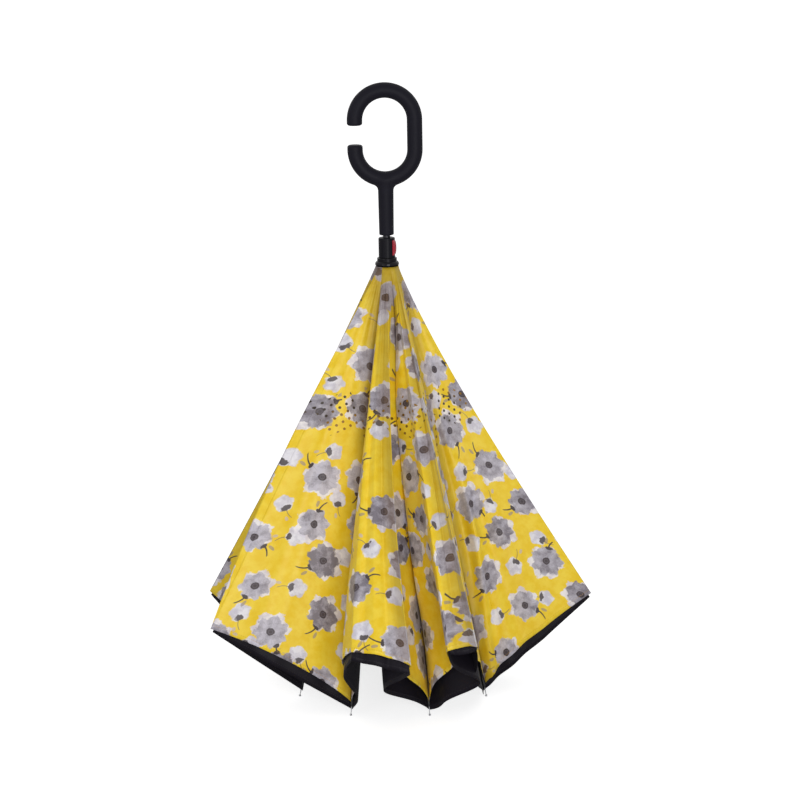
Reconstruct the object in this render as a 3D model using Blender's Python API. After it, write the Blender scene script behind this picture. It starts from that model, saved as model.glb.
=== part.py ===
"""An inverted umbrella with a C-shaped handle, standing half folded on its eight rib tips.

The handle is at the top and the far end of the shaft is at the bottom. Eight ribs hinge on the
runner, which slides down the shaft to open them. Eight struts hinge on a notch that is fixed to the
shaft's far end and hold the ribs. The canopy hangs in outward pleats between the ribs, one wall of
cloth on each side of each rib, and an inner crown of cloth hangs on the struts.
Metres, +Z up, the tips on z = 0 and the shaft on the Z axis. The C handle lies in the XZ plane.
"""
import math

import bmesh
import bpy
from mathutils import Matrix, Vector

MM = 0.001

# Linkage
RIB_COUNT = 8
RIB_TURN = math.radians(-3.0)
RIB_LENGTH = 560.0 * MM
RIB_REST_ANGLE = math.radians(12.4)
RIB_OPEN_ANGLE = math.radians(105.0)
RIB_JOINT = 240.0 * MM
STRUT_EXTRA = 30.0 * MM
STRUT_LENGTH = RIB_JOINT + STRUT_EXTRA
RUNNER_PIVOT_RADIUS = 9.5 * MM
NOTCH_PIVOT_RADIUS = 8.5 * MM
PIVOT_DROP = 5.0 * MM
RUN_GAP = 0.3 * MM

# Handle
RING_WIDTH = 93.3 * MM
RING_HEIGHT = 129.3 * MM
RING_TUBE = 19.2 * MM
RING_GAP = 24.0 * MM
RING_END_ROUND = 3.0 * MM
STEM_LENGTH = 60.3 * MM
STEM_TOP_DIAMETER = 19.4 * MM
STEM_END_DIAMETER = 18.2 * MM
STEM_ROOT = 10.0 * MM
STEM_ROUND = 1.2 * MM
SHAFT_GRIP = 46.0 * MM

# Shaft and its far end
SHAFT_DIAMETER = 9.0 * MM
SHAFT_WALL = 0.8 * MM
SHAFT_TAIL = 7.0 * MM
NECK_GAP = 3.4 * MM
NOTCH_RADIUS = 11.5 * MM
NOTCH_HEIGHT = 7.0 * MM
NOTCH_FOOT = 2.0 * MM
CAP_RADIUS = 11.5 * MM
CAP_RIM = 3.0 * MM
CAP_HEIGHT = 12.0 * MM
CAP_NOSE = 3.5 * MM
CAP_SPIGOT = 12.0 * MM

# Runner
RUNNER_DIAMETER = 20.6 * MM
RUNNER_BODY = 24.7 * MM
RUNNER_ROUND = 1.0 * MM
COLLAR_TOP_DIAMETER = 24.7 * MM
COLLAR_END_DIAMETER = 29.9 * MM
COLLAR_BAND = 4.6 * MM
COLLAR_FLARE = 3.4 * MM
COLLAR_HEIGHT = 10.6 * MM
CROWN_RING_RADIUS = 12.0 * MM
CROWN_RING_TOP = 2.4 * MM
CROWN_RING_END = 8.4 * MM
WIRE_DIAMETER = 1.2 * MM
RIB_SLOT = 3.7 * MM

# Release button
BUTTON_HEIGHT = 19.0 * MM
BUTTON_WIDTH = 7.0 * MM
BUTTON_PROUD = 2.0 * MM
BUTTON_FLANGE = 1.6 * MM
BUTTON_TRAVEL = 2.0 * MM
BUTTON_TURN = math.radians(-25.0)
SPRING_STRIP = 0.5 * MM
SPRING_WIDTH = 4.0 * MM

# Rib
ROD_DIAMETER = 3.0 * MM
EYE_RADIUS = 2.1 * MM
EYE_WIDTH = 2.4 * MM
EYE_BORE = 0.95 * MM
ROD_START = 1.6 * MM
SLEEVE_RADIUS = 2.1 * MM
SLEEVE_LENGTH = 14.0 * MM
TIP_SLEEVE_RADIUS = 1.9 * MM
TIP_SLEEVE_LENGTH = 14.0 * MM
TIP_PIN_DIAMETER = 1.5 * MM
TIP_PIN_LENGTH = 9.0 * MM
TIP_BALL_DIAMETER = 2.8 * MM

# Strut
STRUT_WIDTH = 2.4 * MM
STRUT_DEPTH = 4.0 * MM
STRUT_JOG_START = 14.0 * MM
STRUT_JOG_END = 60.0 * MM
RIVET_RADIUS = 1.6 * MM
RIVET_HEAD = 0.8 * MM

# Cloth
CLOTH_THICKNESS = 0.8 * MM
CLOTH_GAP = 0.3 * MM
CLOTH_RIB_EDGE = 542.0 * MM
CLOTH_CREST = 498.0 * MM
CLOTH_START = 5.0 * MM
CLOTH_OFFSET = 2.4 * MM
RIM_HOLLOW = 6.0 * MM
CROWN_START = 12.0 * MM
CROWN_RIB_EDGE = 250.0 * MM
CROWN_CREST = 236.0 * MM
CROWN_OFFSET = 2.8 * MM

# How each pleat hangs, in order round the canopy from the left of the front: the creases that its
# cloth folds on, each as (how far it leans from the middle of its panel, how far it hangs from the
# shaft's line, its share of the panel's width from the left rib).
PLEAT_SHARES = (
    ((-10.0, 31.4, 0.5),),
    ((-9.5, 29.2, 0.41), (7.5, 29.2, 0.595)),
    ((-28.0, 29.4, 0.4), (-19.4, 29.4, 0.5)),
    ((-1.0, 29.9, 0.5),),
    ((3.0, 31.4, 0.5),),
    ((-4.0, 29.6, 0.5),),
    ((5.0, 31.2, 0.5),),
    ((-5.2, 29.0, 0.5),),
)
CROWN_LEAN_SHARE = 0.45
CROWN_DRAW = math.radians(3.5)

# Faces of the round shapes
SIDES = 28
RING_SIDES = 18
ROD_SIDES = 8
WIRE_SIDES = 6
EYE_SIDES = 12
ARC_STEPS = 14
END_STEPS = 3
RIM_STEPS = 5

# Where one wall of cloth meets the next
SHARED_EDGE = 12.0 * MM
SHARPEST_FOLD = math.radians(6.0)
EDGE_ROOM_SHARE = 1.3

# Heights, worked out from the linkage
TIP_BALL_RADIUS = TIP_BALL_DIAMETER / 2
PIVOT_Z = (RIB_LENGTH - TIP_BALL_RADIUS) * math.cos(RIB_REST_ANGLE) + TIP_BALL_RADIUS
COLLAR_Z = PIVOT_Z + PIVOT_DROP
RUNNER_BASE_Z = COLLAR_Z + COLLAR_HEIGHT
RUNNER_TOP_Z = RUNNER_BASE_Z + RUNNER_BODY
STEM_END_Z = RUNNER_TOP_Z + NECK_GAP
RING_BASE_Z = STEM_END_Z + STEM_LENGTH
RING_CENTRE_Z = RING_BASE_Z + RING_HEIGHT / 2


def strut_angle(rib_angle):
    """The strut's angle from the shaft when the rib stands at rib_angle."""
    reach = RUNNER_PIVOT_RADIUS - NOTCH_PIVOT_RADIUS + RIB_JOINT * math.sin(rib_angle)
    return math.asin(reach / STRUT_LENGTH)


def runner_distance(rib_angle):
    """How far the rib pivots lie from the notch when the rib stands at rib_angle."""
    return RIB_JOINT * math.cos(rib_angle) + STRUT_LENGTH * math.cos(strut_angle(rib_angle))


STRUT_REST_ANGLE = strut_angle(RIB_REST_ANGLE)
STRUT_OPEN_ANGLE = strut_angle(RIB_OPEN_ANGLE)
RUNNER_TRAVEL = runner_distance(RIB_REST_ANGLE) - runner_distance(RIB_OPEN_ANGLE)
NOTCH_Z = PIVOT_Z - runner_distance(RIB_REST_ANGLE)
SHAFT_END_Z = NOTCH_Z - SHAFT_TAIL
STRUT_SIDE = SLEEVE_RADIUS + RUN_GAP + STRUT_WIDTH / 2
RUNNER_CORE = RUNNER_PIVOT_RADIUS - EYE_RADIUS - RUN_GAP
BUTTON_BACK = RUNNER_DIAMETER / 2 - BUTTON_FLANGE
POCKET_FLOOR = BUTTON_BACK - BUTTON_TRAVEL - SPRING_STRIP - RUN_GAP


def azimuth(k):
    """Rib k's place round the shaft; panel k lies between rib k and rib k + 1."""
    step = math.tau / RIB_COUNT
    return RIB_TURN - math.pi + step / 2 + step * k


def outward(turn):
    return Vector((math.cos(turn), math.sin(turn), 0.0))


def sideways(turn):
    return Vector((-math.sin(turn), math.cos(turn), 0.0))


UP = Vector((0.0, 0.0, 1.0))


def rib_line(k, angle):
    """Rib k's direction from its pivot, and the side of it that faces out of the canopy."""
    out = outward(azimuth(k))
    return (math.sin(angle) * out - math.cos(angle) * UP,
            math.cos(angle) * out + math.sin(angle) * UP)


def strut_line(k, angle):
    """Strut k's direction from its pivot, and the side of it that faces out of the canopy."""
    out = outward(azimuth(k))
    return (math.sin(angle) * out + math.cos(angle) * UP,
            math.cos(angle) * out - math.sin(angle) * UP)


def rib_pivot(k):
    return RUNNER_PIVOT_RADIUS * outward(azimuth(k)) + PIVOT_Z * UP


def strut_pivot(k):
    return NOTCH_PIVOT_RADIUS * outward(azimuth(k)) + NOTCH_Z * UP


def turning(point, axis, angle):
    """The matrix that turns things about an axis through a point."""
    return (Matrix.Translation(point) @ Matrix.Rotation(angle, 4, axis)
            @ Matrix.Translation(-point))


def along(a, b, share):
    """The direction at a share of the way from direction a to direction b."""
    whole = a.angle(b)
    return (math.sin(whole * (1 - share)) * a + math.sin(whole * share) * b) / math.sin(whole)


def fold(near, start, rest, opened):
    """The hinge that carries a line from rest to opened, as (axis, angle).

    All are directions at start, in the frame of the piece that carries the cloth. The axis lies as
    close to the near edge as it can.
    """
    across = (rest - opened).normalized()
    axis = (near - across * near.dot(across)).normalized()
    a = (rest - axis * rest.dot(axis)).normalized()
    b = (opened - axis * opened.dot(axis)).normalized()
    angle = math.atan2(axis.dot(a.cross(b)), a.dot(b))
    if angle < 0:
        return -axis, -angle
    return axis, angle


class Fan:
    """One ring of cloth walls: the canopy on the ribs, or the crown on the struts."""

    def __init__(self, line, pivot, spin, rest_angle, open_angle, offset, start, near, crest, hollow):
        self.line = line
        self.pivot = pivot
        self.spin = spin
        self.rest_angle = rest_angle
        self.open_angle = open_angle
        self.offset = offset
        self.start = start
        self.near = near
        self.crest = crest
        self.hollow = hollow

    def carrier(self, k):
        """How rib or strut k turns from rest to open."""
        axis = self.spin * sideways(azimuth(k))
        return turning(self.pivot(k), axis, self.open_angle - self.rest_angle)

    def base(self, k, opened=False):
        """Where the cloth's line on rib or strut k starts."""
        point = self.pivot(k) + self.offset * self.line(k, self.rest_angle)[1]
        return self.carrier(k) @ point if opened else point

    def middle(self, k, opened=False):
        return (self.base(k, opened) + self.base(k + 1, opened)) / 2

    def opened_point(self, k, share, length):
        """A crease's end on the open, flat panel k."""
        a = self.line(k, self.open_angle)[0]
        b = self.line(k + 1, self.open_angle)[0]
        return self.middle(k, True) + length * along(a, b, share)

    def hanging_point(self, k, lean, polar, length, down):
        """A crease's end at rest, from its lean and its angle to the shaft."""
        turn = azimuth(k) + math.pi / RIB_COUNT + lean
        direction = math.sin(polar) * outward(turn) + down * math.cos(polar) * UP
        return self.middle(k) + length * direction


def rib_fan():
    return Fan(rib_line, rib_pivot, -1, RIB_REST_ANGLE, RIB_OPEN_ANGLE, CLOTH_OFFSET,
               CLOTH_START, CLOTH_RIB_EDGE, CLOTH_CREST, RIM_HOLLOW)


def strut_fan():
    return Fan(strut_line, strut_pivot, 1, STRUT_REST_ANGLE, STRUT_OPEN_ANGLE, CROWN_OFFSET,
               CROWN_START, CROWN_RIB_EDGE, CROWN_CREST, 0.0)


def flat_polar(fan, lean, down):
    """How far a crease hangs from the shaft's line when the wider side of its pleat is taut."""
    half = fan.line(0, fan.open_angle)[0].angle(fan.line(1, fan.open_angle)[0]) / 2
    far = math.pi / RIB_COUNT + abs(lean)
    x = math.sin(fan.rest_angle) * math.cos(far)
    y = math.cos(fan.rest_angle)
    return math.atan2(x, y) + math.acos(math.cos(half) / math.hypot(x, y))


def creases(fan, k, down):
    """The creases of panel k, each as (its end at rest, its end when open)."""
    found = []
    if down < 0:
        for lean, polar, share in PLEAT_SHARES[k]:
            found.append((fan.hanging_point(k, math.radians(lean), math.radians(polar), fan.crest, down),
                          fan.opened_point(k, share, fan.crest)))
        return found
    lean = CROWN_LEAN_SHARE * math.radians(PLEAT_SHARES[k][-1][0])
    polar = flat_polar(fan, lean, down) - CROWN_DRAW
    return [(fan.hanging_point(k, lean, polar, fan.crest, down), fan.opened_point(k, 1 / 2, fan.crest))]


def walls(fan, down, word):
    """Every wall of cloth of a fan.

    Each is a dict: its name, its parent (the body that carries it), start, near and far (the ends of
    its two straight edges at rest), and the axis and angle of its hinge.
    """
    found = []
    for k in range(RIB_COUNT):
        lines = creases(fan, k, down)
        after = (k + 1) % RIB_COUNT
        sides = (("left", k, lines[0]), ("right", k + 1, lines[-1]))
        for side, rib, (rest, opened) in sides:
            start = fan.base(rib)
            direction = fan.line(rib, fan.rest_angle)[0]
            seen = fan.carrier(rib).inverted() @ opened
            axis, angle = fold(direction, start, (rest - start).normalized(),
                               (seen - start).normalized())
            found.append(dict(name=f"{word}_{k + 1}_{side}", parent=(k if side == "left" else after) + 1,
                              start=start, near=start + fan.near * direction, far=rest, axis=axis,
                              angle=angle, rib=rib, panel=k, side=side))
        if len(lines) > 1:
            left = found[-2]
            start = left["start"]
            carried = fan.carrier(k) @ turning(start, left["axis"], left["angle"])
            seen = carried.inverted() @ lines[-1][1]
            axis, angle = fold((lines[0][0] - start).normalized(), start,
                               (lines[-1][0] - start).normalized(), (seen - start).normalized())
            found.append(dict(name=f"{word}_{k + 1}_front", parent=left["name"], start=start,
                              near=lines[0][0], far=lines[-1][0], axis=axis, angle=angle, rib=k,
                              panel=k, side="front"))
    return found


def clear_scene():
    for thing in list(bpy.data.objects):
        bpy.data.objects.remove(thing, do_unlink=True)


def material(name, colour, roughness, metallic=0.0):
    made = bpy.data.materials.get(name) or bpy.data.materials.new(name)
    made.use_nodes = True
    shader = made.node_tree.nodes["Principled BSDF"]
    shader.inputs["Base Color"].default_value = (*colour, 1.0)
    shader.inputs["Roughness"].default_value = roughness
    shader.inputs["Metallic"].default_value = metallic
    return made


SOFT_BLACK = ("soft black grip", (0.014, 0.013, 0.018), 0.62)
GLOSS_BLACK = ("gloss black plastic", (0.012, 0.012, 0.014), 0.22)
RED = ("red button plastic", (0.42, 0.008, 0.024), 0.3)
STEEL = ("bright steel", (0.62, 0.62, 0.64), 0.3, 1.0)
GLASS_FIBRE = ("black glass fibre", (0.02, 0.02, 0.022), 0.4)
YELLOW = ("yellow printed cloth", (0.88, 0.6, 0.02), 0.55)
LINING = ("black lining cloth", (0.012, 0.011, 0.016), 0.6)


def add_object(name, mesh_source, finish, keep_sharp=math.radians(35.0)):
    """Adds a mesh or a bmesh to the scene under a node's name."""
    if isinstance(mesh_source, bmesh.types.BMesh):
        bmesh.ops.recalc_face_normals(mesh_source, faces=mesh_source.faces[:])
        mesh = bpy.data.meshes.new(name)
        mesh_source.to_mesh(mesh)
        mesh_source.free()
    else:
        mesh = mesh_source
    mesh.shade_smooth()
    mesh.set_sharp_from_angle(angle=keep_sharp)
    made = bpy.data.objects.new(name, mesh)
    made.data.materials.clear()
    made.data.materials.append(material(*finish))
    bpy.context.scene.collection.objects.link(made)
    return made


def turned(shape, profile, sides=SIDES, place=Matrix.Identity(4)):
    """Adds a closed profile of (radius, height), turned about Z, to a bmesh."""
    rings = []
    for radius, height in profile:
        if radius == 0:
            rings.append([shape.verts.new(place @ Vector((0.0, 0.0, height)))])
            continue
        rings.append([shape.verts.new(place @ (radius * outward(math.tau * i / sides) + height * UP))
                      for i in range(sides)])
    for a, b in zip(rings, rings[1:] + rings[:1]):
        if len(a) == 1 and len(b) == 1:
            continue
        for i in range(sides):
            j = (i + 1) % sides
            corners = [a[i % len(a)], a[j % len(a)], b[j % len(b)], b[i % len(b)]]
            shape.faces.new(list(dict.fromkeys(corners)))
    return shape


def rounded(radius, height, inner_height, amount, steps=3):
    """A quarter-round corner of a turned profile, from the end face to the side."""
    turn = 1 if height > inner_height else -1
    return [(radius - amount + amount * math.sin(math.pi / 2 * i / steps),
             height - turn * amount + turn * amount * math.cos(math.pi / 2 * i / steps))
            for i in range(steps + 1)]


def swept(shape, frames, sides):
    """Adds a round tube to a bmesh. Each frame is (centre, one axis, other axis, radius)."""
    rings = []
    for centre, a, b, radius in frames:
        rings.append([shape.verts.new(centre + radius * (math.cos(math.tau * i / sides) * a
                                                         + math.sin(math.tau * i / sides) * b))
                      for i in range(sides)])
    for a, b in zip(rings, rings[1:]):
        for i in range(sides):
            j = (i + 1) % sides
            shape.faces.new((a[i], a[j], b[j], b[i]))
    shape.faces.new(rings[0])
    shape.faces.new(rings[-1])
    return shape


def block(shape, size, centre, place=Matrix.Identity(4)):
    """Adds a box to a bmesh."""
    scale = Matrix.Diagonal((*size, 1.0))
    bmesh.ops.create_cube(shape, size=1.0, matrix=place @ Matrix.Translation(centre) @ scale)
    return shape


def combined(base, other, operation):
    """Joins or cuts one bmesh with another by a Boolean, and returns a new mesh."""
    pair = []
    for n, source in enumerate((base, other)):
        bmesh.ops.recalc_face_normals(source, faces=source.faces[:])
        mesh = bpy.data.meshes.new(f"piece {n}")
        source.to_mesh(mesh)
        source.free()
        thing = bpy.data.objects.new(f"piece {n}", mesh)
        bpy.context.scene.collection.objects.link(thing)
        pair.append(thing)
    change = pair[0].modifiers.new("join", "BOOLEAN")
    change.operation = operation
    change.solver = "EXACT"
    change.object = pair[1]
    graph = bpy.context.evaluated_depsgraph_get()
    result = bmesh.new()
    result.from_mesh(pair[0].evaluated_get(graph).to_mesh())
    for thing in pair:
        mesh = thing.data
        bpy.data.objects.remove(thing, do_unlink=True)
        bpy.data.meshes.remove(mesh)
    return result


def ring_frames():
    """The C ring's tube: a stadium with a gap in the middle of its left side."""
    tube = RING_TUBE / 2
    radius = RING_WIDTH / 2 - tube
    straight = RING_HEIGHT - RING_WIDTH
    path = []

    def add(x, z, turn, size):
        """turn is the direction of travel in the XZ plane, from +X towards +Z."""
        side = Vector((math.sin(turn), 0.0, -math.cos(turn)))
        centre = Vector((x, 0.0, RING_CENTRE_Z + z))
        path.append((centre, side, Vector((0.0, 1.0, 0.0)), size))

    def end(side, angle):
        depth = RING_GAP / 2 + RING_END_ROUND * (1 - math.cos(angle))
        add(-radius, side * depth, -math.pi / 2, tube - RING_END_ROUND * (1 - math.sin(angle)))

    for i in range(END_STEPS + 1):
        end(-1, math.pi / 2 * i / END_STEPS)
    for i in range(ARC_STEPS + 1):
        angle = math.pi + math.pi * i / ARC_STEPS
        add(radius * math.cos(angle), -straight / 2 + radius * math.sin(angle),
            angle + math.pi / 2, tube)
    for i in range(ARC_STEPS + 1):
        angle = math.pi * i / ARC_STEPS
        add(radius * math.cos(angle), straight / 2 + radius * math.sin(angle),
            angle + math.pi / 2, tube)
    for i in range(END_STEPS + 1):
        end(1, math.pi / 2 * (1 - i / END_STEPS))
    return path


def make_handle():
    """The moulded grip: the C ring and its stem, with a blind bore for the shaft."""
    bore = SHAFT_DIAMETER / 2 + RUN_GAP
    end = STEM_END_DIAMETER / 2
    root = RING_BASE_Z + STEM_ROOT
    top = STEM_TOP_DIAMETER / 2
    outline = [(0.0, root), (top - STEM_ROUND, root), (top, RING_BASE_Z)]
    outline += reversed(rounded(end, STEM_END_Z, RING_BASE_Z, STEM_ROUND))
    outline += [(bore, STEM_END_Z), (bore, STEM_END_Z + SHAFT_GRIP + RUN_GAP),
                (0.0, STEM_END_Z + SHAFT_GRIP + RUN_GAP)]
    ring = swept(bmesh.new(), ring_frames(), RING_SIDES)
    stem = turned(bmesh.new(), outline)
    add_object("handle", combined(ring, stem, "UNION"), SOFT_BLACK)


def make_shaft():
    outer = SHAFT_DIAMETER / 2
    inner = outer - SHAFT_WALL
    top = STEM_END_Z + SHAFT_GRIP
    outline = [(outer, top), (outer, SHAFT_END_Z), (inner, SHAFT_END_Z), (inner, top)]
    add_object("shaft_tube", turned(bmesh.new(), outline), STEEL)


def rib_slots(low, high, inner, outer):
    """Eight radial boxes that cut the slots of a hub."""
    cutter = bmesh.new()
    size = Vector((outer - inner, RIB_SLOT, high - low))
    centre = Vector(((outer + inner) / 2, 0.0, (low + high) / 2))
    for k in range(RIB_COUNT):
        block(cutter, size, centre, Matrix.Rotation(azimuth(k), 4, "Z"))
    return cutter


def make_far_end():
    """The notch that holds the struts, its ring wire, and the cap over the shaft's end."""
    bore = SHAFT_DIAMETER / 2 + RUN_GAP
    wire = WIRE_DIAMETER / 2 + RUN_GAP
    low = NOTCH_Z - NOTCH_HEIGHT / 2 - NOTCH_FOOT
    high = NOTCH_Z + NOTCH_HEIGHT / 2
    slot_floor = NOTCH_Z - EYE_RADIUS - RUN_GAP
    groove = NOTCH_Z - wire
    outline = [(NOTCH_RADIUS, low), (NOTCH_RADIUS, high), (NOTCH_PIVOT_RADIUS + wire, high),
               (NOTCH_PIVOT_RADIUS + wire, groove), (NOTCH_PIVOT_RADIUS - wire, groove),
               (NOTCH_PIVOT_RADIUS - wire, high), (bore, high), (bore, low)]
    slots = rib_slots(slot_floor, high + RUN_GAP, NOTCH_PIVOT_RADIUS - EYE_RADIUS - RUN_GAP,
                      NOTCH_RADIUS + RUN_GAP)
    add_object("top_notch", combined(turned(bmesh.new(), outline), slots, "DIFFERENCE"), GLOSS_BLACK)
    ring_wire("notch_ring_wire", NOTCH_PIVOT_RADIUS, NOTCH_Z)

    rim = low - RUN_GAP
    inner = SHAFT_DIAMETER / 2 - SHAFT_WALL - RUN_GAP
    outline = [(0.0, SHAFT_END_Z + CAP_SPIGOT), (inner, SHAFT_END_Z + CAP_SPIGOT),
               (inner, SHAFT_END_Z - RUN_GAP), (SHAFT_DIAMETER / 2 + RUN_GAP, SHAFT_END_Z - RUN_GAP),
               (SHAFT_DIAMETER / 2 + RUN_GAP, rim), (CAP_RADIUS, rim), (CAP_RADIUS, rim - CAP_RIM)]
    steps = 6
    for i in range(1, steps):
        angle = math.pi / 2 * i / steps
        outline.append((CAP_NOSE + (CAP_RADIUS - CAP_NOSE) * math.cos(angle),
                        rim - CAP_RIM - (CAP_HEIGHT - CAP_RIM) * math.sin(angle)))
    outline += [(CAP_NOSE, rim - CAP_HEIGHT), (0.0, rim - CAP_HEIGHT)]
    add_object("top_cap", turned(bmesh.new(), outline), GLOSS_BLACK)


def ring_wire(name, radius, height):
    """The closed wire that the eyes of the ribs or struts turn on."""
    thick = WIRE_DIAMETER / 2
    turns = [math.tau * i / WIRE_SIDES for i in range(WIRE_SIDES)]
    outline = [(radius + thick * math.cos(turn), height + thick * math.sin(turn)) for turn in turns]
    add_object(name, turned(bmesh.new(), outline), STEEL)


def make_runner():
    """The sliding body with its slotted rib ring, the flared collar and the ring wire."""
    bore = SHAFT_DIAMETER / 2 + RUN_GAP
    outer = RUNNER_DIAMETER / 2
    wire = WIRE_DIAMETER / 2 + RUN_GAP
    ring_top = COLLAR_Z - CROWN_RING_TOP
    ring_end = COLLAR_Z - CROWN_RING_END
    groove = PIVOT_Z - wire
    outline = [(bore, RUNNER_TOP_Z)]
    outline += rounded(outer, RUNNER_TOP_Z, RUNNER_BASE_Z, RUNNER_ROUND)
    outline += [(outer, RUNNER_BASE_Z), (RUNNER_CORE, RUNNER_BASE_Z), (RUNNER_CORE, ring_top),
                (RUNNER_PIVOT_RADIUS - wire, ring_top), (RUNNER_PIVOT_RADIUS - wire, groove),
                (RUNNER_PIVOT_RADIUS + wire, groove), (RUNNER_PIVOT_RADIUS + wire, ring_top),
                (CROWN_RING_RADIUS, ring_top), (CROWN_RING_RADIUS, ring_end), (bore, ring_end)]
    slots = rib_slots(ring_end - RUN_GAP, ring_top + RUN_GAP, RUNNER_CORE, CROWN_RING_RADIUS + RUN_GAP)
    body = combined(turned(bmesh.new(), outline), slots, "DIFFERENCE")
    pocket = bmesh.new()
    middle = (RUNNER_TOP_Z + RUNNER_BASE_Z) / 2
    reach = outer + RUN_GAP
    flange = BUTTON_HEIGHT + 2 * RUN_GAP
    size = Vector((reach - POCKET_FLOOR, BUTTON_WIDTH + 2 * RUN_GAP, flange))
    block(pocket, size, Vector(((reach + POCKET_FLOOR) / 2, 0.0, middle)),
          Matrix.Rotation(BUTTON_TURN, 4, "Z"))
    add_object("runner_body", combined(body, pocket, "DIFFERENCE"), SOFT_BLACK)

    top = RUNNER_BASE_Z - RUN_GAP
    inner = RUNNER_CORE + RUN_GAP
    band = COLLAR_TOP_DIAMETER / 2
    lip = COLLAR_END_DIAMETER / 2
    outline = [(inner, top)]
    outline += rounded(band, top, COLLAR_Z, RUNNER_ROUND)
    outline.append((band, top - COLLAR_BAND))
    steps = 5
    for i in range(1, steps + 1):
        angle = math.pi / 2 * i / steps
        outline.append((lip - (lip - band) * (1 - math.sin(angle)),
                        top - COLLAR_BAND - COLLAR_FLARE * (1 - math.cos(angle))))
    drop = top - COLLAR_BAND - COLLAR_FLARE - COLLAR_Z
    outline += [(lip, COLLAR_Z + drop / 2), (lip - drop, COLLAR_Z), (CROWN_RING_RADIUS, COLLAR_Z),
                (inner, COLLAR_Z)]
    add_object("runner_collar", turned(bmesh.new(), outline), GLOSS_BLACK)
    ring_wire("runner_ring_wire", RUNNER_PIVOT_RADIUS, PIVOT_Z)


def make_button():
    """The red release button, a lens that stands out of the runner, and its leaf spring.

    Both are made on the +X side and then turned to their place round the runner.
    """
    middle = (RUNNER_TOP_Z + RUNNER_BASE_Z) / 2
    back = BUTTON_BACK
    shape = bmesh.new()
    columns = []
    steps = 8
    across = 4
    for i in range(steps + 1):
        height = (i / steps - 1 / 2) * BUTTON_HEIGHT
        rise = math.sqrt(max(1 - (2 * height / BUTTON_HEIGHT) ** 2, 0))
        row = []
        for j in range(across + 1):
            side = (j / across - 1 / 2) * BUTTON_WIDTH
            crown = math.sqrt(max(1 - (side / RUNNER_DIAMETER * 2) ** 2, 0))
            front = RUNNER_DIAMETER / 2 * crown + BUTTON_PROUD * rise
            row.append((shape.verts.new(Vector((front, side, middle + height))),
                        shape.verts.new(Vector((back, side, middle + height)))))
        columns.append(row)
    for i in range(steps):
        for j in range(across):
            a, b, c, d = columns[i][j], columns[i][j + 1], columns[i + 1][j + 1], columns[i + 1][j]
            shape.faces.new((a[0], b[0], c[0], d[0]))
            shape.faces.new((a[1], d[1], c[1], b[1]))
        for j in (0, across):
            a, d = columns[i][j], columns[i + 1][j]
            shape.faces.new((a[0], d[0], d[1], a[1]))
    for i in (0, steps):
        for j in range(across):
            a, b = columns[i][j], columns[i][j + 1]
            shape.faces.new((a[0], a[1], b[1], b[0]))
    shape.transform(Matrix.Rotation(BUTTON_TURN, 4, "Z"))
    add_object("release_button", shape, RED)

    floor = POCKET_FLOOR + RUN_GAP
    reach = back - RUN_GAP
    half = BUTTON_HEIGHT / 2 - SPRING_WIDTH / 2
    strip = bmesh.new()
    rows = []
    bends = 12
    for i in range(bends + 1):
        share = i / bends
        height = middle + half * (2 * share - 1)
        bow = floor + (reach - floor - SPRING_STRIP) * math.sin(math.pi * share) ** 2
        rows.append([strip.verts.new(Vector((bow + dx, dy, height)))
                     for dx, dy in ((0.0, -SPRING_WIDTH / 2), (SPRING_STRIP, -SPRING_WIDTH / 2),
                                    (SPRING_STRIP, SPRING_WIDTH / 2), (0.0, SPRING_WIDTH / 2))])
    for a, b in zip(rows, rows[1:]):
        for i in range(4):
            j = (i + 1) % 4
            strip.faces.new((a[i], a[j], b[j], b[i]))
    strip.faces.new(rows[0])
    strip.faces.new(rows[-1])
    strip.transform(Matrix.Rotation(BUTTON_TURN, 4, "Z"))
    add_object("button_spring", strip, STEEL)


def eye():
    """The flat ring that turns on a ring wire, its hole along Y."""
    half = EYE_WIDTH / 2
    outline = [(EYE_RADIUS, -half), (EYE_RADIUS, half), (EYE_BORE, half), (EYE_BORE, -half)]
    return turned(bmesh.new(), outline, EYE_SIDES, Matrix.Rotation(math.pi / 2, 4, "X"))


def rib_mesh():
    """One rib along +X from its pivot: eye, rod, joint sleeve, tip sleeve, pin and ball."""
    lie = Matrix.Rotation(math.pi / 2, 4, "Y")
    rod = ROD_DIAMETER / 2
    pin = TIP_PIN_DIAMETER / 2
    ball = TIP_BALL_DIAMETER / 2
    centre = RIB_LENGTH - ball
    pin_start = RIB_LENGTH - TIP_BALL_DIAMETER - TIP_PIN_LENGTH
    sleeve = SLEEVE_LENGTH / 2
    outline = [(0.0, ROD_START), (rod, ROD_START), (rod, RIB_JOINT - sleeve),
               (SLEEVE_RADIUS, RIB_JOINT - sleeve), (SLEEVE_RADIUS, RIB_JOINT + sleeve),
               (rod, RIB_JOINT + sleeve), (rod, pin_start - TIP_SLEEVE_LENGTH),
               (TIP_SLEEVE_RADIUS, pin_start - TIP_SLEEVE_LENGTH), (TIP_SLEEVE_RADIUS, pin_start - pin),
               (TIP_SLEEVE_RADIUS - pin, pin_start), (pin, pin_start)]
    steps = 5
    first = math.asin(pin / ball)
    for i in range(steps):
        angle = first + (math.pi - first) * i / steps
        outline.append((ball * math.sin(angle), centre - ball * math.cos(angle)))
    outline.append((0.0, RIB_LENGTH))
    return combined(turned(bmesh.new(), outline, ROD_SIDES, lie), eye(), "UNION")


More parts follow.
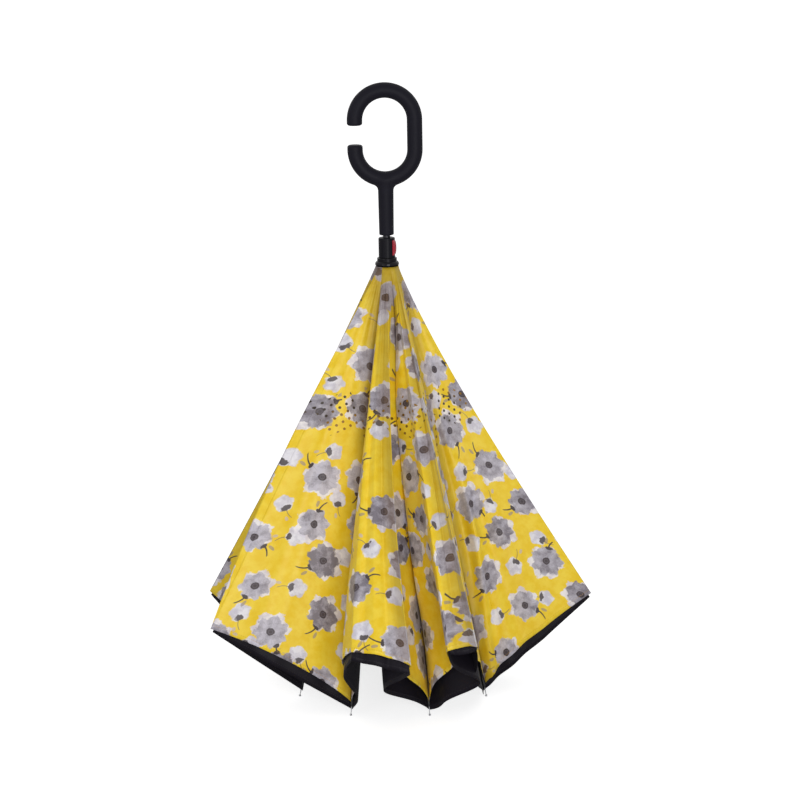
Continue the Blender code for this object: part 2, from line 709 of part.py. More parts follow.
def strut_mesh():
    """One strut along +X from its pivot, set over to clear the rib beside it, with its rivet."""
    half_depth = STRUT_DEPTH / 2
    stations = [(ROD_START, 0.0), (STRUT_JOG_START, 0.0), (STRUT_JOG_END, STRUT_SIDE),
                (STRUT_LENGTH + half_depth, STRUT_SIDE)]
    bar = bmesh.new()
    rows = []
    for x, side in stations:
        rows.append([bar.verts.new(Vector((x, side + dy, dz)))
                     for dy, dz in ((-STRUT_WIDTH / 2, -half_depth), (STRUT_WIDTH / 2, -half_depth),
                                    (STRUT_WIDTH / 2, half_depth), (-STRUT_WIDTH / 2, half_depth))])
    for a, b in zip(rows, rows[1:]):
        for i in range(4):
            j = (i + 1) % 4
            bar.faces.new((a[i], a[j], b[j], b[i]))
    bar.faces.new(rows[0])
    bar.faces.new(rows[-1])
    seat = Vector((STRUT_LENGTH, STRUT_SIDE + STRUT_WIDTH / 2 - RUN_GAP, 0.0))
    head = turned(bmesh.new(), [(0.0, 0.0), (RIVET_RADIUS, 0.0), (RIVET_RADIUS, RIVET_HEAD),
                                (0.0, RIVET_HEAD)], EYE_SIDES,
                  Matrix.Translation(seat) @ Matrix.Rotation(-math.pi / 2, 4, "X"))
    return combined(combined(bar, eye(), "UNION"), head, "UNION")


def make_arms():
    """Eight ribs on the runner and eight struts on the notch, all alike."""
    arms = (("rib", rib_mesh(), rib_line, rib_pivot, RIB_REST_ANGLE, GLASS_FIBRE),
            ("strut", strut_mesh(), strut_line, strut_pivot, STRUT_REST_ANGLE, STEEL))
    for word, source, line, pivot, angle, finish in arms:
        bmesh.ops.recalc_face_normals(source, faces=source.faces[:])
        mesh = bpy.data.meshes.new(word)
        source.to_mesh(mesh)
        source.free()
        for k in range(RIB_COUNT):
            direction, out = line(k, angle)
            axis = out.cross(direction)
            frame = Matrix((direction, axis, out)).transposed().to_4x4()
            made = add_object(f"{word}_{k + 1}", mesh, finish)
            made.matrix_world = Matrix.Translation(pivot(k)) @ frame


def edge_margin(angle):
    """How far a wall's edge stays from the line it shares with a wall at this angle to it."""
    half = max(angle / 2, SHARPEST_FOLD)
    return CLOTH_THICKNESS / 2 / math.tan(half) + CLOTH_GAP / 2 / math.sin(half)


def side_vector(line, other):
    """The unit vector in a wall's plane, square to one of its edges, towards its other edge."""
    return (other - line * other.dot(line)).normalized()


def make_walls(fan, down, word, finish):
    """The cloth walls of a fan, as thin flat plates with a slightly hollow rim."""
    found = walls(fan, down, word)
    for wall in found:
        start = wall["start"]
        near = (wall["near"] - start).normalized()
        far = (wall["far"] - start).normalized()
        margins = []
        for line, other in ((near, far), (far, near)):
            mine = side_vector(line, other)
            closest = math.pi
            for beyond in found:
                if beyond is wall:
                    continue
                for tip, back in (("near", "far"), ("far", "near")):
                    edge = (beyond[tip] - beyond["start"]).normalized()
                    same = (beyond[tip] - (start + line * (beyond[tip] - start).length)).length
                    if same < SHARED_EDGE:
                        theirs = side_vector(edge, (beyond[back] - beyond["start"]).normalized())
                        closest = min(closest, mine.angle(theirs))
            margins.append(edge_margin(closest))
        near_side = side_vector(near, far) * margins[0]
        far_side = side_vector(far, near) * margins[1]
        length_near = (wall["near"] - start).length
        length_far = (wall["far"] - start).length
        spread = near.angle(far)
        first = max(fan.start, (margins[0] + margins[1]) / math.tan(spread) * EDGE_ROOM_SHARE)
        outline = [start + near * first + near_side]
        for i in range(RIM_STEPS + 1):
            share = i / RIM_STEPS
            a = start + near * length_near + near_side
            b = start + far * length_far + far_side
            point = a.lerp(b, share)
            pull = fan.hollow * 4 * share * (1 - share)
            outline.append(point - (point - start).normalized() * pull)
        outline.append(start + far * first + far_side)
        normal = near.cross(far).normalized() * CLOTH_THICKNESS / 2
        shape = bmesh.new()
        upper = [shape.verts.new(p + normal) for p in outline]
        lower = [shape.verts.new(p - normal) for p in outline]
        shape.faces.new(upper)
        shape.faces.new(reversed(lower))
        for i in range(len(outline)):
            j = (i + 1) % len(outline)
            shape.faces.new((upper[i], lower[i], lower[j], upper[j]))
        add_object(wall["name"], shape, finish)


def main():
    clear_scene()
    make_handle()
    make_shaft()
    make_far_end()
    make_runner()
    make_button()
    make_arms()
    make_walls(rib_fan(), -1, "canopy", YELLOW)
    make_walls(strut_fan(), 1, "crown", LINING)


main()
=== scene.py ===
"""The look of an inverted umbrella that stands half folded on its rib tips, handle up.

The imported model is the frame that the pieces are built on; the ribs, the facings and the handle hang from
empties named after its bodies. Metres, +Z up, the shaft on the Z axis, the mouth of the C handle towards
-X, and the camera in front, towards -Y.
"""
import math

import bmesh
import bpy
import numpy as np
from mathutils import Matrix, Vector


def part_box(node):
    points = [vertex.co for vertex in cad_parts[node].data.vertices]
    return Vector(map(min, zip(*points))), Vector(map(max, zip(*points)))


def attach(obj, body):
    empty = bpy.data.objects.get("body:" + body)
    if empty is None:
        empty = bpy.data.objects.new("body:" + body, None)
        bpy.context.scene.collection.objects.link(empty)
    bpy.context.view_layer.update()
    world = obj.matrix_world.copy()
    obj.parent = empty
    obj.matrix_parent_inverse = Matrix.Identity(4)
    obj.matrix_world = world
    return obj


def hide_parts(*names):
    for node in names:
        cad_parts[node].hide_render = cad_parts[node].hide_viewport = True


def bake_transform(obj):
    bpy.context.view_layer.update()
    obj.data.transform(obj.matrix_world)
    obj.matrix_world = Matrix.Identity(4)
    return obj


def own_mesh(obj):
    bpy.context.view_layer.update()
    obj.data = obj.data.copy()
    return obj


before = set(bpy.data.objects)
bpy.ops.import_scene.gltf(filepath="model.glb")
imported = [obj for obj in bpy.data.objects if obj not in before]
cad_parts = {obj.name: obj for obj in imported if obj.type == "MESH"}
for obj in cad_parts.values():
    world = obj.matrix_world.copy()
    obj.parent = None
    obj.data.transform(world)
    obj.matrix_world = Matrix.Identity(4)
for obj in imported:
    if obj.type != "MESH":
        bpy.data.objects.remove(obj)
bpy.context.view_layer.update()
MM = 0.001


# Shaft: one drawn steel tube from the handle to the far end, painted black. The paint is thin and
# the sliding runner has polished it a little, in fine lines along the tube.
class Shade:
    """A number or a vector that changes over the surface; its sums and products are Math nodes."""

    def __init__(self, tree, socket):
        self.tree = tree
        self.socket = socket

    def math(self, operation, *others, clamp=False):
        """The outcome of one operation on this and the other values."""
        made = self.tree.nodes.new("ShaderNodeMath")
        made.operation = operation
        made.use_clamp = clamp
        for socket, value in zip(made.inputs, (self, *others)):
            feed(socket, value)
        return Shade(self.tree, made.outputs[0])

    def vector_math(self, operation, *others, scale=None):
        """The same for vectors; scale is the factor where the operation is a scaling."""
        made = self.tree.nodes.new("ShaderNodeVectorMath")
        made.operation = operation
        for socket, value in zip(made.inputs, (self, *others)):
            feed(socket, value)
        if scale is not None:
            feed(made.inputs["Scale"], scale)
        return Shade(self.tree, made.outputs[0])

    def __add__(self, other):
        return self.math("ADD", other)

    def __sub__(self, other):
        return self.math("SUBTRACT", other)

    def __mul__(self, other):
        return self.math("MULTIPLY", other)

    def __truediv__(self, other):
        return self.math("DIVIDE", other)

    def over(self, low, high):
        """0 below low, 1 above high, and a smooth rise between them; high may be the lower one."""
        made = self.tree.nodes.new("ShaderNodeMapRange")
        made.interpolation_type = "SMOOTHSTEP"
        feed(made.inputs["Value"], self)
        feed(made.inputs["From Min"], low)
        feed(made.inputs["From Max"], high)
        return Shade(self.tree, made.outputs[0])

    def parts(self):
        """The X, Y and Z of a vector."""
        made = self.tree.nodes.new("ShaderNodeSeparateXYZ")
        feed(made.inputs[0], self)
        return [Shade(self.tree, socket) for socket in made.outputs]


def feed(socket, value):
    """Links a Shade to a socket, or sets the socket's own value."""
    if isinstance(value, Shade):
        value.tree.links.new(value.socket, socket)
    else:
        socket.default_value = value


def node(tree, kind, output=0, settings=None, **inputs):
    """Adds a node with its settings and inputs, and returns one output, or several, as Shades."""
    made = tree.nodes.new(kind)
    for name, value in (settings or {}).items():
        setattr(made, name, value)
    for name, value in inputs.items():
        feed(made.inputs[name.replace("_", " ")], value)
    if isinstance(output, tuple):
        return [Shade(tree, made.outputs[name]) for name in output]
    return Shade(tree, made.outputs[output])


def paint(red, green, blue):
    """A colour as a screen shows it, 0 to 255, as the linear colour that a shader takes."""
    shares = np.array([red, green, blue]) / 255
    linear = np.where(shares > 0.04045, ((shares + 0.055) / 1.055) ** 2.4, shares / 12.92)
    return (*linear.tolist(), 1.0)


def mixed(tree, share, first, second):
    """The colour at a share of the way from the first colour to the second."""
    made = tree.nodes.new("ShaderNodeMix")
    made.data_type = "RGBA"
    sockets = {socket.identifier: socket for socket in made.inputs}
    feed(sockets["Factor_Float"], share)
    feed(sockets["A_Color"], first)
    feed(sockets["B_Color"], second)
    found = {socket.identifier: socket for socket in made.outputs}
    return Shade(tree, found["Result_Color"])


def finish(name, **constants):
    """A new material with its constant shader values; returns it, its node tree and its shader."""
    made = bpy.data.materials.new(name)
    made.use_nodes = True
    shader = made.node_tree.nodes["Principled BSDF"]
    for word, value in constants.items():
        shader.inputs[word.replace("_", " ")].default_value = value
    return made, made.node_tree, shader


def group(name, inputs, outputs):
    """A new node group with number or vector inputs; returns it, its input Shades and its output node."""
    made = bpy.data.node_groups.new(name, "ShaderNodeTree")
    for word, (kind, value) in inputs.items():
        socket = made.interface.new_socket(name=word, in_out="INPUT", socket_type=kind)
        if value is not None:
            socket.default_value = value
    for word, kind in outputs.items():
        made.interface.new_socket(name=word, in_out="OUTPUT", socket_type=kind)
    start = made.nodes.new("NodeGroupInput")
    end = made.nodes.new("NodeGroupOutput")
    return made, {word: Shade(made, start.outputs[word]) for word in inputs}, end


def noise(tree, place, scale, detail, **settings):
    """The value of a noise texture; scale counts its spots to the unit that the place is given in."""
    return node(tree, "ShaderNodeTexNoise", "Fac", settings, Vector=place, Scale=scale, Detail=detail)


def grain_group():
    """Fine moulded or painted grain: the height of noise at a given size, as a bent normal, and
    the same noise as a value for colour and roughness."""
    made, given, end = group("fine grain", {"Size": ("NodeSocketFloat", 0.0005),
                                            "Depth": ("NodeSocketFloat", 0.00002)},
                             {"Normal": "NodeSocketVector", "Speckle": "NodeSocketFloat"})
    place = node(made, "ShaderNodeTexCoord", "Object")
    shrunk = place.vector_math("SCALE", scale=Shade.math(given["Size"], "POWER", -1.0))
    speckle = noise(made, shrunk, 1.0, 2.0)
    bent = node(made, "ShaderNodeBump", Height=speckle, Distance=given["Depth"])
    feed(end.inputs["Normal"], bent)
    feed(end.inputs["Speckle"], speckle)
    return made


GRAIN = grain_group()


def grain(tree, size, depth):
    """Places the fine grain in a material; returns its normal and its speckle."""
    return node(tree, "ShaderNodeGroup", ("Normal", "Speckle"), {"node_tree": GRAIN}, Size=size,
                Depth=depth)


def drawn_steel(name, colour, worn_colour, line_size):
    """Painted or bare drawn metal: fine lines along Z, with patches where the paint is polished."""
    made, tree, shader = finish(name, Metallic=0.85, Specular_IOR_Level=0.5)
    place = node(tree, "ShaderNodeTexCoord", "Object")
    stretched = node(tree, "ShaderNodeMapping", Vector=place, Scale=(1 / line_size, 1 / line_size, 12.0))
    lines = noise(tree, stretched, 1.0, 3.0)
    worn = noise(tree, place, 60.0, 4.0).over(0.5, 0.72)
    feed(shader.inputs["Base Color"], mixed(tree, worn * lines, colour, worn_colour))
    feed(shader.inputs["Roughness"], lines * 0.22 + 0.26)
    feed(shader.inputs["Normal"], node(tree, "ShaderNodeBump", Height=lines, Distance=0.00001))
    return made


BLACK_TUBE = drawn_steel("black painted tube", paint(22, 22, 26), paint(120, 120, 126), 0.4 * MM)
BRIGHT_WIRE = drawn_steel("bright steel wire", paint(176, 177, 182), paint(210, 210, 214), 0.3 * MM)
STRUT_STEEL = drawn_steel("black painted strut", paint(30, 30, 34), paint(150, 150, 156), 0.5 * MM)


def dress(name, material):
    """Gives a CAD node its material."""
    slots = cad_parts[name].data.materials
    slots.clear()
    slots.append(material)


dress("shaft_tube", BLACK_TUBE)


# Far end: a moulded nylon notch with eight slots for the struts, the steel ring wire that they turn
# on, and a glossy cap pressed into the tube's end.
def moulded(name, colour, scuffed_colour, roughness, size, depth, **constants):
    """Moulded plastic: fine grain, a little lighter in scuffed patches, and duller there."""
    made, tree, shader = finish(name, **constants)
    normal, speckle = grain(tree, size, depth)
    place = node(tree, "ShaderNodeTexCoord", "Object")
    scuffs = noise(tree, place, 45.0, 5.0).over(0.52, 0.78)
    feed(shader.inputs["Base Color"], mixed(tree, scuffs * 0.5 + speckle * 0.12, colour, scuffed_colour))
    feed(shader.inputs["Roughness"], scuffs * 0.1 + speckle * 0.06 + roughness)
    feed(shader.inputs["Normal"], normal)
    return made


GLOSS_BLACK = moulded("gloss black plastic", paint(10, 8, 15), paint(20, 18, 26), 0.14, 1.2 * MM,
                      0.004 * MM, Specular_IOR_Level=0.2)
NOTCH_NYLON = moulded("black nylon", paint(22, 22, 25), paint(52, 52, 56), 0.38, 0.6 * MM, 0.01 * MM)
dress("top_notch", NOTCH_NYLON)
dress("top_cap", GLOSS_BLACK)
dress("notch_ring_wire", BRIGHT_WIRE)


# Runner: a soft-touch sleeve with the release button's window, a gloss flared collar pushed on over
# its slotted lower end, the ring wire that the ribs turn on, and the button with its leaf spring.
SOFT_TOUCH = moulded("soft-touch black", paint(20, 19, 28), paint(29, 28, 38), 0.5, 0.35 * MM, 0.01 * MM,
                     Specular_IOR_Level=0.12, Sheen_Weight=0.01, Sheen_Roughness=0.4)
# The runner's sleeve is the handle's soft-touch black made darker, as painted shade, and a little glossier.
SHADED_RUNNER_BLACK = moulded("runner black with painted shade", paint(13, 12, 19), paint(22, 21, 28), 0.34, 0.5 * MM, 0.006 * MM,
                       Specular_IOR_Level=0.14)
RED_PLASTIC = moulded("red button plastic", paint(168, 16, 42), paint(196, 48, 66), 0.2, 0.8 * MM,
                      0.004 * MM, Coat_Weight=0.2, Coat_Roughness=0.1)
dress("runner_body", SHADED_RUNNER_BLACK)
dress("runner_collar", GLOSS_BLACK)
dress("runner_ring_wire", BRIGHT_WIRE)
dress("button_spring", BRIGHT_WIRE)
dress("release_button", RED_PLASTIC)


# Ribs: eight black glass-fibre rods that hinge on the runner's wire by a pressed steel eye. Each has
# a nylon sleeve where its strut joins, and a tip sleeve with a steel pin and ball at its end.
RIB_COUNT = 8
RIB_LENGTH = 560.0 * MM
ROD_RADIUS = 1.5 * MM
JOINT_PLACE = 240.0 * MM
EYE_HALF = 1.2 * MM
EYE_HOLE = 0.95 * MM
EYE_RADIUS = 2.1 * MM
EYE_BEVEL = 0.2 * MM
FIRST_RIB = math.radians(-160.5)
RIB_REST = math.radians(12.4)
PIVOT_RADIUS = 9.5 * MM
PIVOT_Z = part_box("runner_collar")[0].z - 5.0 * MM
ROUND = math.tau
UP = np.array([0.0, 0.0, 1.0])
GLASS_FIBRE = moulded("black glass fibre", paint(20, 20, 22), paint(44, 44, 46), 0.3, 0.4 * MM, 0.006 * MM)


def turn_of(k):
    """Rib k's place round the shaft, in radians; panel k lies between rib k and rib k + 1."""
    return FIRST_RIB + ROUND / RIB_COUNT * k


def unit(vector):
    """A vector, or each of a grid of them, over its own length."""
    return vector / np.linalg.norm(vector, axis=-1, keepdims=True)


def outward(turn):
    """The level direction away from the shaft at a turn round it: its cosine and its sine."""
    return np.array([np.cos(turn), np.sin(turn), 0.0])


def rib_line(k):
    """Rib k at rest: its pivot, its direction, and the side of it that faces out of the canopy."""
    out = outward(turn_of(k))
    return (PIVOT_RADIUS * out + PIVOT_Z * UP, math.sin(RIB_REST) * out - math.cos(RIB_REST) * UP,
            math.cos(RIB_REST) * out + math.sin(RIB_REST) * UP)


def add_piece(name, mesh, materials):
    """A new object at the origin, with smooth faces and its materials."""
    mesh.shade_smooth()
    made = bpy.data.objects.new(name, mesh)
    for material in materials:
        made.data.materials.append(material)
    bpy.context.scene.collection.objects.link(made)
    return made


def faces_of(rows, columns, first=0, closed=False):
    """The quads of a grid of points, counted from first; a closed grid joins its last column to its
    first."""
    index = first + np.arange(rows * columns).reshape(rows, columns)
    if closed:
        index = np.hstack([index, index[:, :1]])
    return np.stack([index[:-1, :-1], index[:-1, 1:], index[1:, 1:], index[1:, :-1]], -1).reshape(-1, 4)


def turned_points(profile, start, axis, across, sides):
    """A profile of (distance along the axis, radius) turned about it: each row of the grid is the
    circle of that radius at that distance."""
    along, radius = np.array(profile).T
    angle = np.arange(sides) / sides * ROUND
    other = np.cross(axis, across)
    ring = np.cos(angle)[:, None] * across + np.sin(angle)[:, None] * other
    return start + along[:, None, None] * axis + radius[:, None, None] * ring


def sealed(mesh):
    """Merges the doubles at a turned shape's poles and points its faces outwards."""
    shape = bmesh.new()
    shape.from_mesh(mesh)
    bmesh.ops.remove_doubles(shape, verts=shape.verts[:], dist=0.000002)
    bmesh.ops.recalc_face_normals(shape, faces=shape.faces[:])
    shape.to_mesh(mesh)
    shape.free()
    return mesh


def rounded_step(along, inner, outer, bevel, back=False):
    """The profile of a sleeve's rounded end, from the rod's radius to its own, or back again: a
    quarter circle of the bevel's radius."""
    rows = [(along, inner)]
    for turn in np.linspace(0, math.pi / 2, 5):
        rows.append((along + bevel * (1 - math.cos(turn)), outer - bevel * (1 - math.sin(turn))))
    if back:
        return [(2 * along - a, r) for a, r in reversed(rows)]
    return rows


def rib_profiles():
    """The rib's parts along its own line, each as (profile, material number): the rod, the joint's
    sleeve, the tip's sleeve with its rounded nose, and the pin with the circle of its ball."""
    sleeve = 2.1 * MM
    low, high = JOINT_PLACE - 7.0 * MM, JOINT_PLACE + 7.0 * MM
    pin_start = RIB_LENGTH - 11.8 * MM
    rod_end = pin_start - 8.0 * MM
    tip_start = pin_start - 14.0 * MM
    tip_radius = 1.9 * MM
    pin_foot = pin_start - 1.0 * MM
    ball = 1.4 * MM
    centre = RIB_LENGTH - ball
    fibre = [(1.6 * MM, 0.0), (1.8 * MM, ROD_RADIUS), (rod_end, ROD_RADIUS), (rod_end, 0.0)]
    nylon = [(low, 0.0)] + rounded_step(low, ROD_RADIUS, sleeve, 0.4 * MM)
    nylon += rounded_step(high, ROD_RADIUS, sleeve, 0.4 * MM, back=True) + [(high, 0.0)]
    tip = [(tip_start, 0.0)] + rounded_step(tip_start, ROD_RADIUS, tip_radius, 0.3 * MM)
    tip += rounded_step(pin_start - 2.0 * MM, 1.2 * MM, tip_radius, 0.7 * MM, back=True)
    tip += [(pin_start, 1.1 * MM), (pin_start, 0.0)]
    pin = [(pin_foot, 0.0), (pin_foot, 0.75 * MM)]
    pin += [(centre - ball * math.cos(t), ball * math.sin(t)) for t in np.linspace(0.3, math.pi, 9)]
    return ((fibre, 0), (nylon, 1), (tip, 1), (pin, 2))


def turned_mesh(name, parts, start, axis, across, sides):
    """One mesh of several turned profiles on one line, each with its own material number."""
    points, faces, numbers = [], [], []
    for profile, number in parts:
        grid = turned_points(profile, start, axis, across, sides)
        faces.append(faces_of(*grid.shape[:2], sum(len(p) for p in points), closed=True))
        points.append(grid.reshape(-1, 3))
        numbers += [number] * len(faces[-1])
    mesh = bpy.data.meshes.new(name)
    mesh.from_pydata(np.concatenate(points).tolist(), [], np.concatenate(faces).tolist())
    mesh.polygons.foreach_set("material_index", numbers)
    return sealed(mesh)


def make_ribs():
    """Each rib is turned about its own line, and its eye about the wire that it hangs on."""
    flat, shoulder = EYE_HALF - EYE_BEVEL, EYE_RADIUS - EYE_BEVEL
    eye = [(-EYE_HALF, EYE_HOLE), (-EYE_HALF, shoulder), (-flat, EYE_RADIUS), (flat, EYE_RADIUS),
           (EYE_HALF, shoulder), (EYE_HALF, EYE_HOLE), (-EYE_HALF, EYE_HOLE)]
    for k in range(RIB_COUNT):
        start, axis, out = rib_line(k)
        across = np.cross(axis, out)
        rod = turned_mesh(f"rib_rod_{k + 1}", rib_profiles(), start, axis, across, 20)
        made = add_piece(rod.name, rod, [GLASS_FIBRE, NOTCH_NYLON, BRIGHT_WIRE])
        rod.set_sharp_from_angle(angle=math.radians(50))
        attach(made, f"rib_{k + 1}")
        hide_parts(f"rib_{k + 1}")
        ring = turned_mesh(f"rib_eye_{k + 1}", ((eye, 0),), start, across, axis, 24)
        ring.set_sharp_from_angle(angle=math.radians(50))
        made = add_piece(ring.name, ring, [BRIGHT_WIRE])
        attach(made, f"rib_{k + 1}")


make_ribs()


# Struts: eight pressed steel bars, painted black, from the notch to each rib's sleeve. The paint is
# rubbed bright where they fold past the ribs.
for number in range(RIB_COUNT):
    dress(f"strut_{number + 1}", STRUT_STEEL)


# Lining: the canopy's black inner layer, of thin coated polyester, sewn to the ribs from their
# joints to their tips. It hangs in the same pleats, just inside the printed layer, and its hem
# shows below the printed one.
RIB_RIM = 542.0 * MM
LINING_RIM = 552.0 * MM
LINING_START = 232.0 * MM
TOP_RADIUS = 14.2 * MM
TOP_Z = PIVOT_Z + 4.6 * MM
HALF_PANEL = math.radians(21.7)
CLOTH_SIDE = 2.4 * MM
PLY_GAP = 1.1 * MM
PLY_BELLY = 2.4 * MM
CLOTH_THICKNESS = 0.3 * MM
HEM_REACH = 550.0 * MM

# The creases of each panel, round the canopy from the left of the front: how far each leans from
# the middle of its panel and hangs from the shaft's line, in degrees, its share of the panel's
# width, and the printed cloth's and the lining's reach along it in millimetres.
PLEATS = (
    ((-10.0, 31.4, 0.5, 493.0, 495.5),),
    ((-9.5, 29.2, 0.41, 482.0, 492.0), (7.5, 29.2, 0.595, 498.0, 508.0)),
    ((-28.0, 29.4, 0.4, 484.5, 487.0), (-19.4, 29.4, 0.5, 484.0, 487.0)),
    ((-1.0, 29.9, 0.5, 489.0, 492.5),),
    ((3.0, 31.4, 0.5, 490.0, 494.0),),
    ((-4.0, 29.6, 0.5, 494.0, 498.0),),
    ((5.0, 31.2, 0.5, 490.0, 494.0),),
    ((-5.2, 28.3, 0.5, 486.0, 489.5),),
)

# How each wall of cloth departs from a flat one: long swells and folds that run from the collar to
# the rim, each as (place across the wall from its near edge, width, depth in millimetres at the
# rim, and the shares of the length at which it starts and is full), and for one that runs aslant,
# how far its place drifts over the whole length.
FOLDS = {
    "1_left": ((0.5, 0.3, 4.0, 0.2, 1.0),),
    "1_right": ((0.62, 0.3, 5.0, 0.1, 0.9), (0.3, 0.07, -2.2, 0.15, 0.6), (0.42, 0.05, 1.6, 0.25, 0.8),
                (0.8, 0.05, -1.4, 0.3, 0.9)),
    "2_left": ((0.70, 0.22, 11.0, 0.25, 1.0), (0.24, 0.16, -6.0, 0.35, 1.0)),
    "2_front": ((0.5, 0.35, 5.0, 0.1, 0.9), (0.2, 0.08, -3.0, 0.15, 0.7), (0.42, 0.07, 2.0, 0.1, 0.6),
                (0.64, 0.07, -3.6, 0.05, 0.7), (0.84, 0.05, 1.6, 0.2, 0.9)),
    "2_right": ((0.42, 0.3, -14.0, 0.05, 0.4), (0.3, 0.08, -2.0, 0.3, 0.8)),
    "3_left": ((0.36, 0.26, 14.0, 0.05, 0.4), (0.36, 0.26, -11.0, 0.72, 1.0),
               (0.56, 0.24, -19.0, 0.62, 1.0)),
    "3_front": ((0.5, 0.35, 4.0, 0.2, 0.9), (0.34, 0.12, -3.0, 0.1, 0.7), (0.7, 0.1, 2.4, 0.2, 0.8)),
    "3_right": ((0.42, 0.2, -6.0, 0.6, 1.0), (0.3, 0.07, -2.0, 0.15, 0.6), (0.62, 0.07, 2.4, 0.1, 0.6)),
    "4_left": ((0.55, 0.3, 5.0, 0.2, 0.9), (0.14, 0.06, -3.4, 0.05, 0.6), (0.27, 0.06, 3.0, 0.1, 0.7),
               (0.4, 0.06, -2.6, 0.15, 0.8), (0.56, 0.05, 1.4, 0.3, 0.9),
               (0.65, 0.055, 14.0, 0.45, 0.75, -0.6)),
}
# Where the lining hangs looser than the printed cloth: more of the same swells.
LINING_FOLDS = {
    "2_right": ((0.5, 0.28, -28.0, 0.45, 1.0),),
    "3_left": ((0.55, 0.19, -30.0, 0.4, 1.0), (0.17, 0.14, -8.0, 0.1, 0.4)),
    "4_left": ((0.65, 0.055, -10.5, 0.45, 0.75, -0.6),),
}
# How much further down the lining's hem hangs in the middle of a wall, in millimetres.
LINING_DROPS = {"2_left": 2.0, "2_right": -3.0, "3_left": 12.0, "3_right": 18.0, "3_front": 4.0}
# How the creases that the photograph shows bow away from a straight line: millimetres sideways and
# outwards where the bow is widest, the power of the length that puts that place higher or lower, and
# which of the two walls that meet there bows. Where only one does, its edge is turned back to the
# straight line that the other one keeps, and the two still meet when the umbrella is open.
BOWS = {(0, 0): (-8.0, 10.0, 1.2, "before"), (1, 0): (-6.0, 0.0, 0.9, "both"),
        (1, 1): (-8.5, 0.0, 1.2, "both"), (2, 0): (9.5, 0.0, 1.1, "after"),
        (3, 0): (0.0, -10.0, 0.7, "both"), (7, 0): (0.0, -3.0, 0.8, "both")}
# The share of a bowed wall's width that is turned back.
TURN_BACK = {"1_left": 0.08, "3_front": 0.42}
PLAIN_TURN_BACK = 0.1
# The power by which the cloth's flare under the collar dies away down a crease.
FLARE = 3.0
# The small gathers under the collar: their height and how many lie across a wall.
GATHER = 0.8 * MM
GATHER_COUNT = 2.6
# How far the rim is drawn up in the middle of a wall of this width or more, the share beside an
# edge in which folds die away, and how far the cloth stands off beside a crease, and how near it.
HOLLOW = 9.0 * MM
HOLLOW_WIDTH = 200.0 * MM
FOLD_HOLD = 0.06
CREST_SWELL = 1.8 * MM
CREST_ROUND = 4.0 * MM
# How far apart the panels lie on the cloth that they are cut from.
PANEL_STEP = 800.0 * MM


def crease_line(k, crease):
    """A crease's start, halfway between its two ribs' cloth lines, and its direction at rest."""
    lean, polar = math.radians(crease[0]), math.radians(crease[1])
    bases = [pivot + CLOTH_SIDE * out for pivot, direction, out in (rib_line(k), rib_line(k + 1))]
    turn = turn_of(k) + ROUND / RIB_COUNT / 2 + lean
    return (bases[0] + bases[1]) / 2, math.sin(polar) * outward(turn) - math.cos(polar) * UP


def crease_bow(k, n, lean):
    """How far a crease bows at its widest, the power of the length that its bow follows, and the
    wall that bows."""
    sideways, outwards, power, bowed = BOWS.get((k, n), (0.0, 0.0, 1.0, "both"))
    turn = turn_of(k) + ROUND / RIB_COUNT / 2 + lean
    return (sideways * np.cross(UP, outward(turn)) + outwards * outward(turn)) * MM, power, bowed


def wall_list():
    """Every wall of cloth, each with its two edges in order round the canopy: an edge has its share
    of the panel, its rib or None at a crease, its start, the printed cloth's and the lining's ends,
    and its bow."""
    walls = []
    for k in range(RIB_COUNT):
        edges = []
        for j, share in ((k, 0.0), (k + 1, 1.0)):
            pivot, direction, out = rib_line(j)
            edges.append(dict(share=share, rib=j % RIB_COUNT, start=top_point(k, share),
                              end=pivot + RIB_RIM * direction + CLOTH_SIDE * out,
                              lining=pivot + LINING_RIM * direction + CLOTH_SIDE * out,
                              bow=(0.0 * UP, 1.0, "both")))
        for n, crease in enumerate(PLEATS[k]):
            start, direction = crease_line(k, crease)
            edges.insert(-1, dict(share=crease[2], rib=None, start=start,
                                  end=start + crease[3] * MM * direction,
                                  lining=start + crease[4] * MM * direction,
                                  bow=crease_bow(k, n, math.radians(crease[0]))))
        words = ["left", "front", "right"] if len(edges) == 4 else ["left", "right"]
        for n, word in enumerate(words):
            walls.append(dict(panel=k, word=f"{k + 1}_{word}", edges=(edges[n], edges[n + 1])))
    return walls


def top_point(k, share):
    """Where the cloth comes out under the collar, on its lip's circle."""
    turn = turn_of(k) + share * ROUND / RIB_COUNT
    return np.stack([TOP_RADIUS * np.cos(turn), TOP_RADIUS * np.sin(turn), TOP_Z + 0 * turn], -1)


def wall_normal(wall):
    """The outward side of a wall's plane, through its two ends and the middle of its top."""
    first, last = wall["edges"]
    top = top_point(wall["panel"], (first["share"] + last["share"]) / 2)
    return unit(np.cross(first["end"] - top, last["end"] - top))


def edge_shift(edge, walls):
    """How the lining's edge lies inside the printed cloth's: PLY_GAP from both of the walls that
    meet at a crease, which three equations give, and the rib's thickness at a rib."""
    if edge["rib"] is not None:
        return -2 * CLOTH_SIDE * rib_line(edge["rib"])[2]
    meeting = [wall_normal(wall) for wall in walls if any(edge is other for other in wall["edges"])]
    line = unit(edge["end"] - PIVOT_Z * UP)
    return np.linalg.solve(np.array([*meeting, line]), [-PLY_GAP, -PLY_GAP, 0.0])


def smooth_rise(value, low, high):
    """0 below low, 1 above high, and between them three times the share squared less twice its cube."""
    share = np.clip((value - low) / (high - low), 0, 1)
    return share * share * (3 - 2 * share)


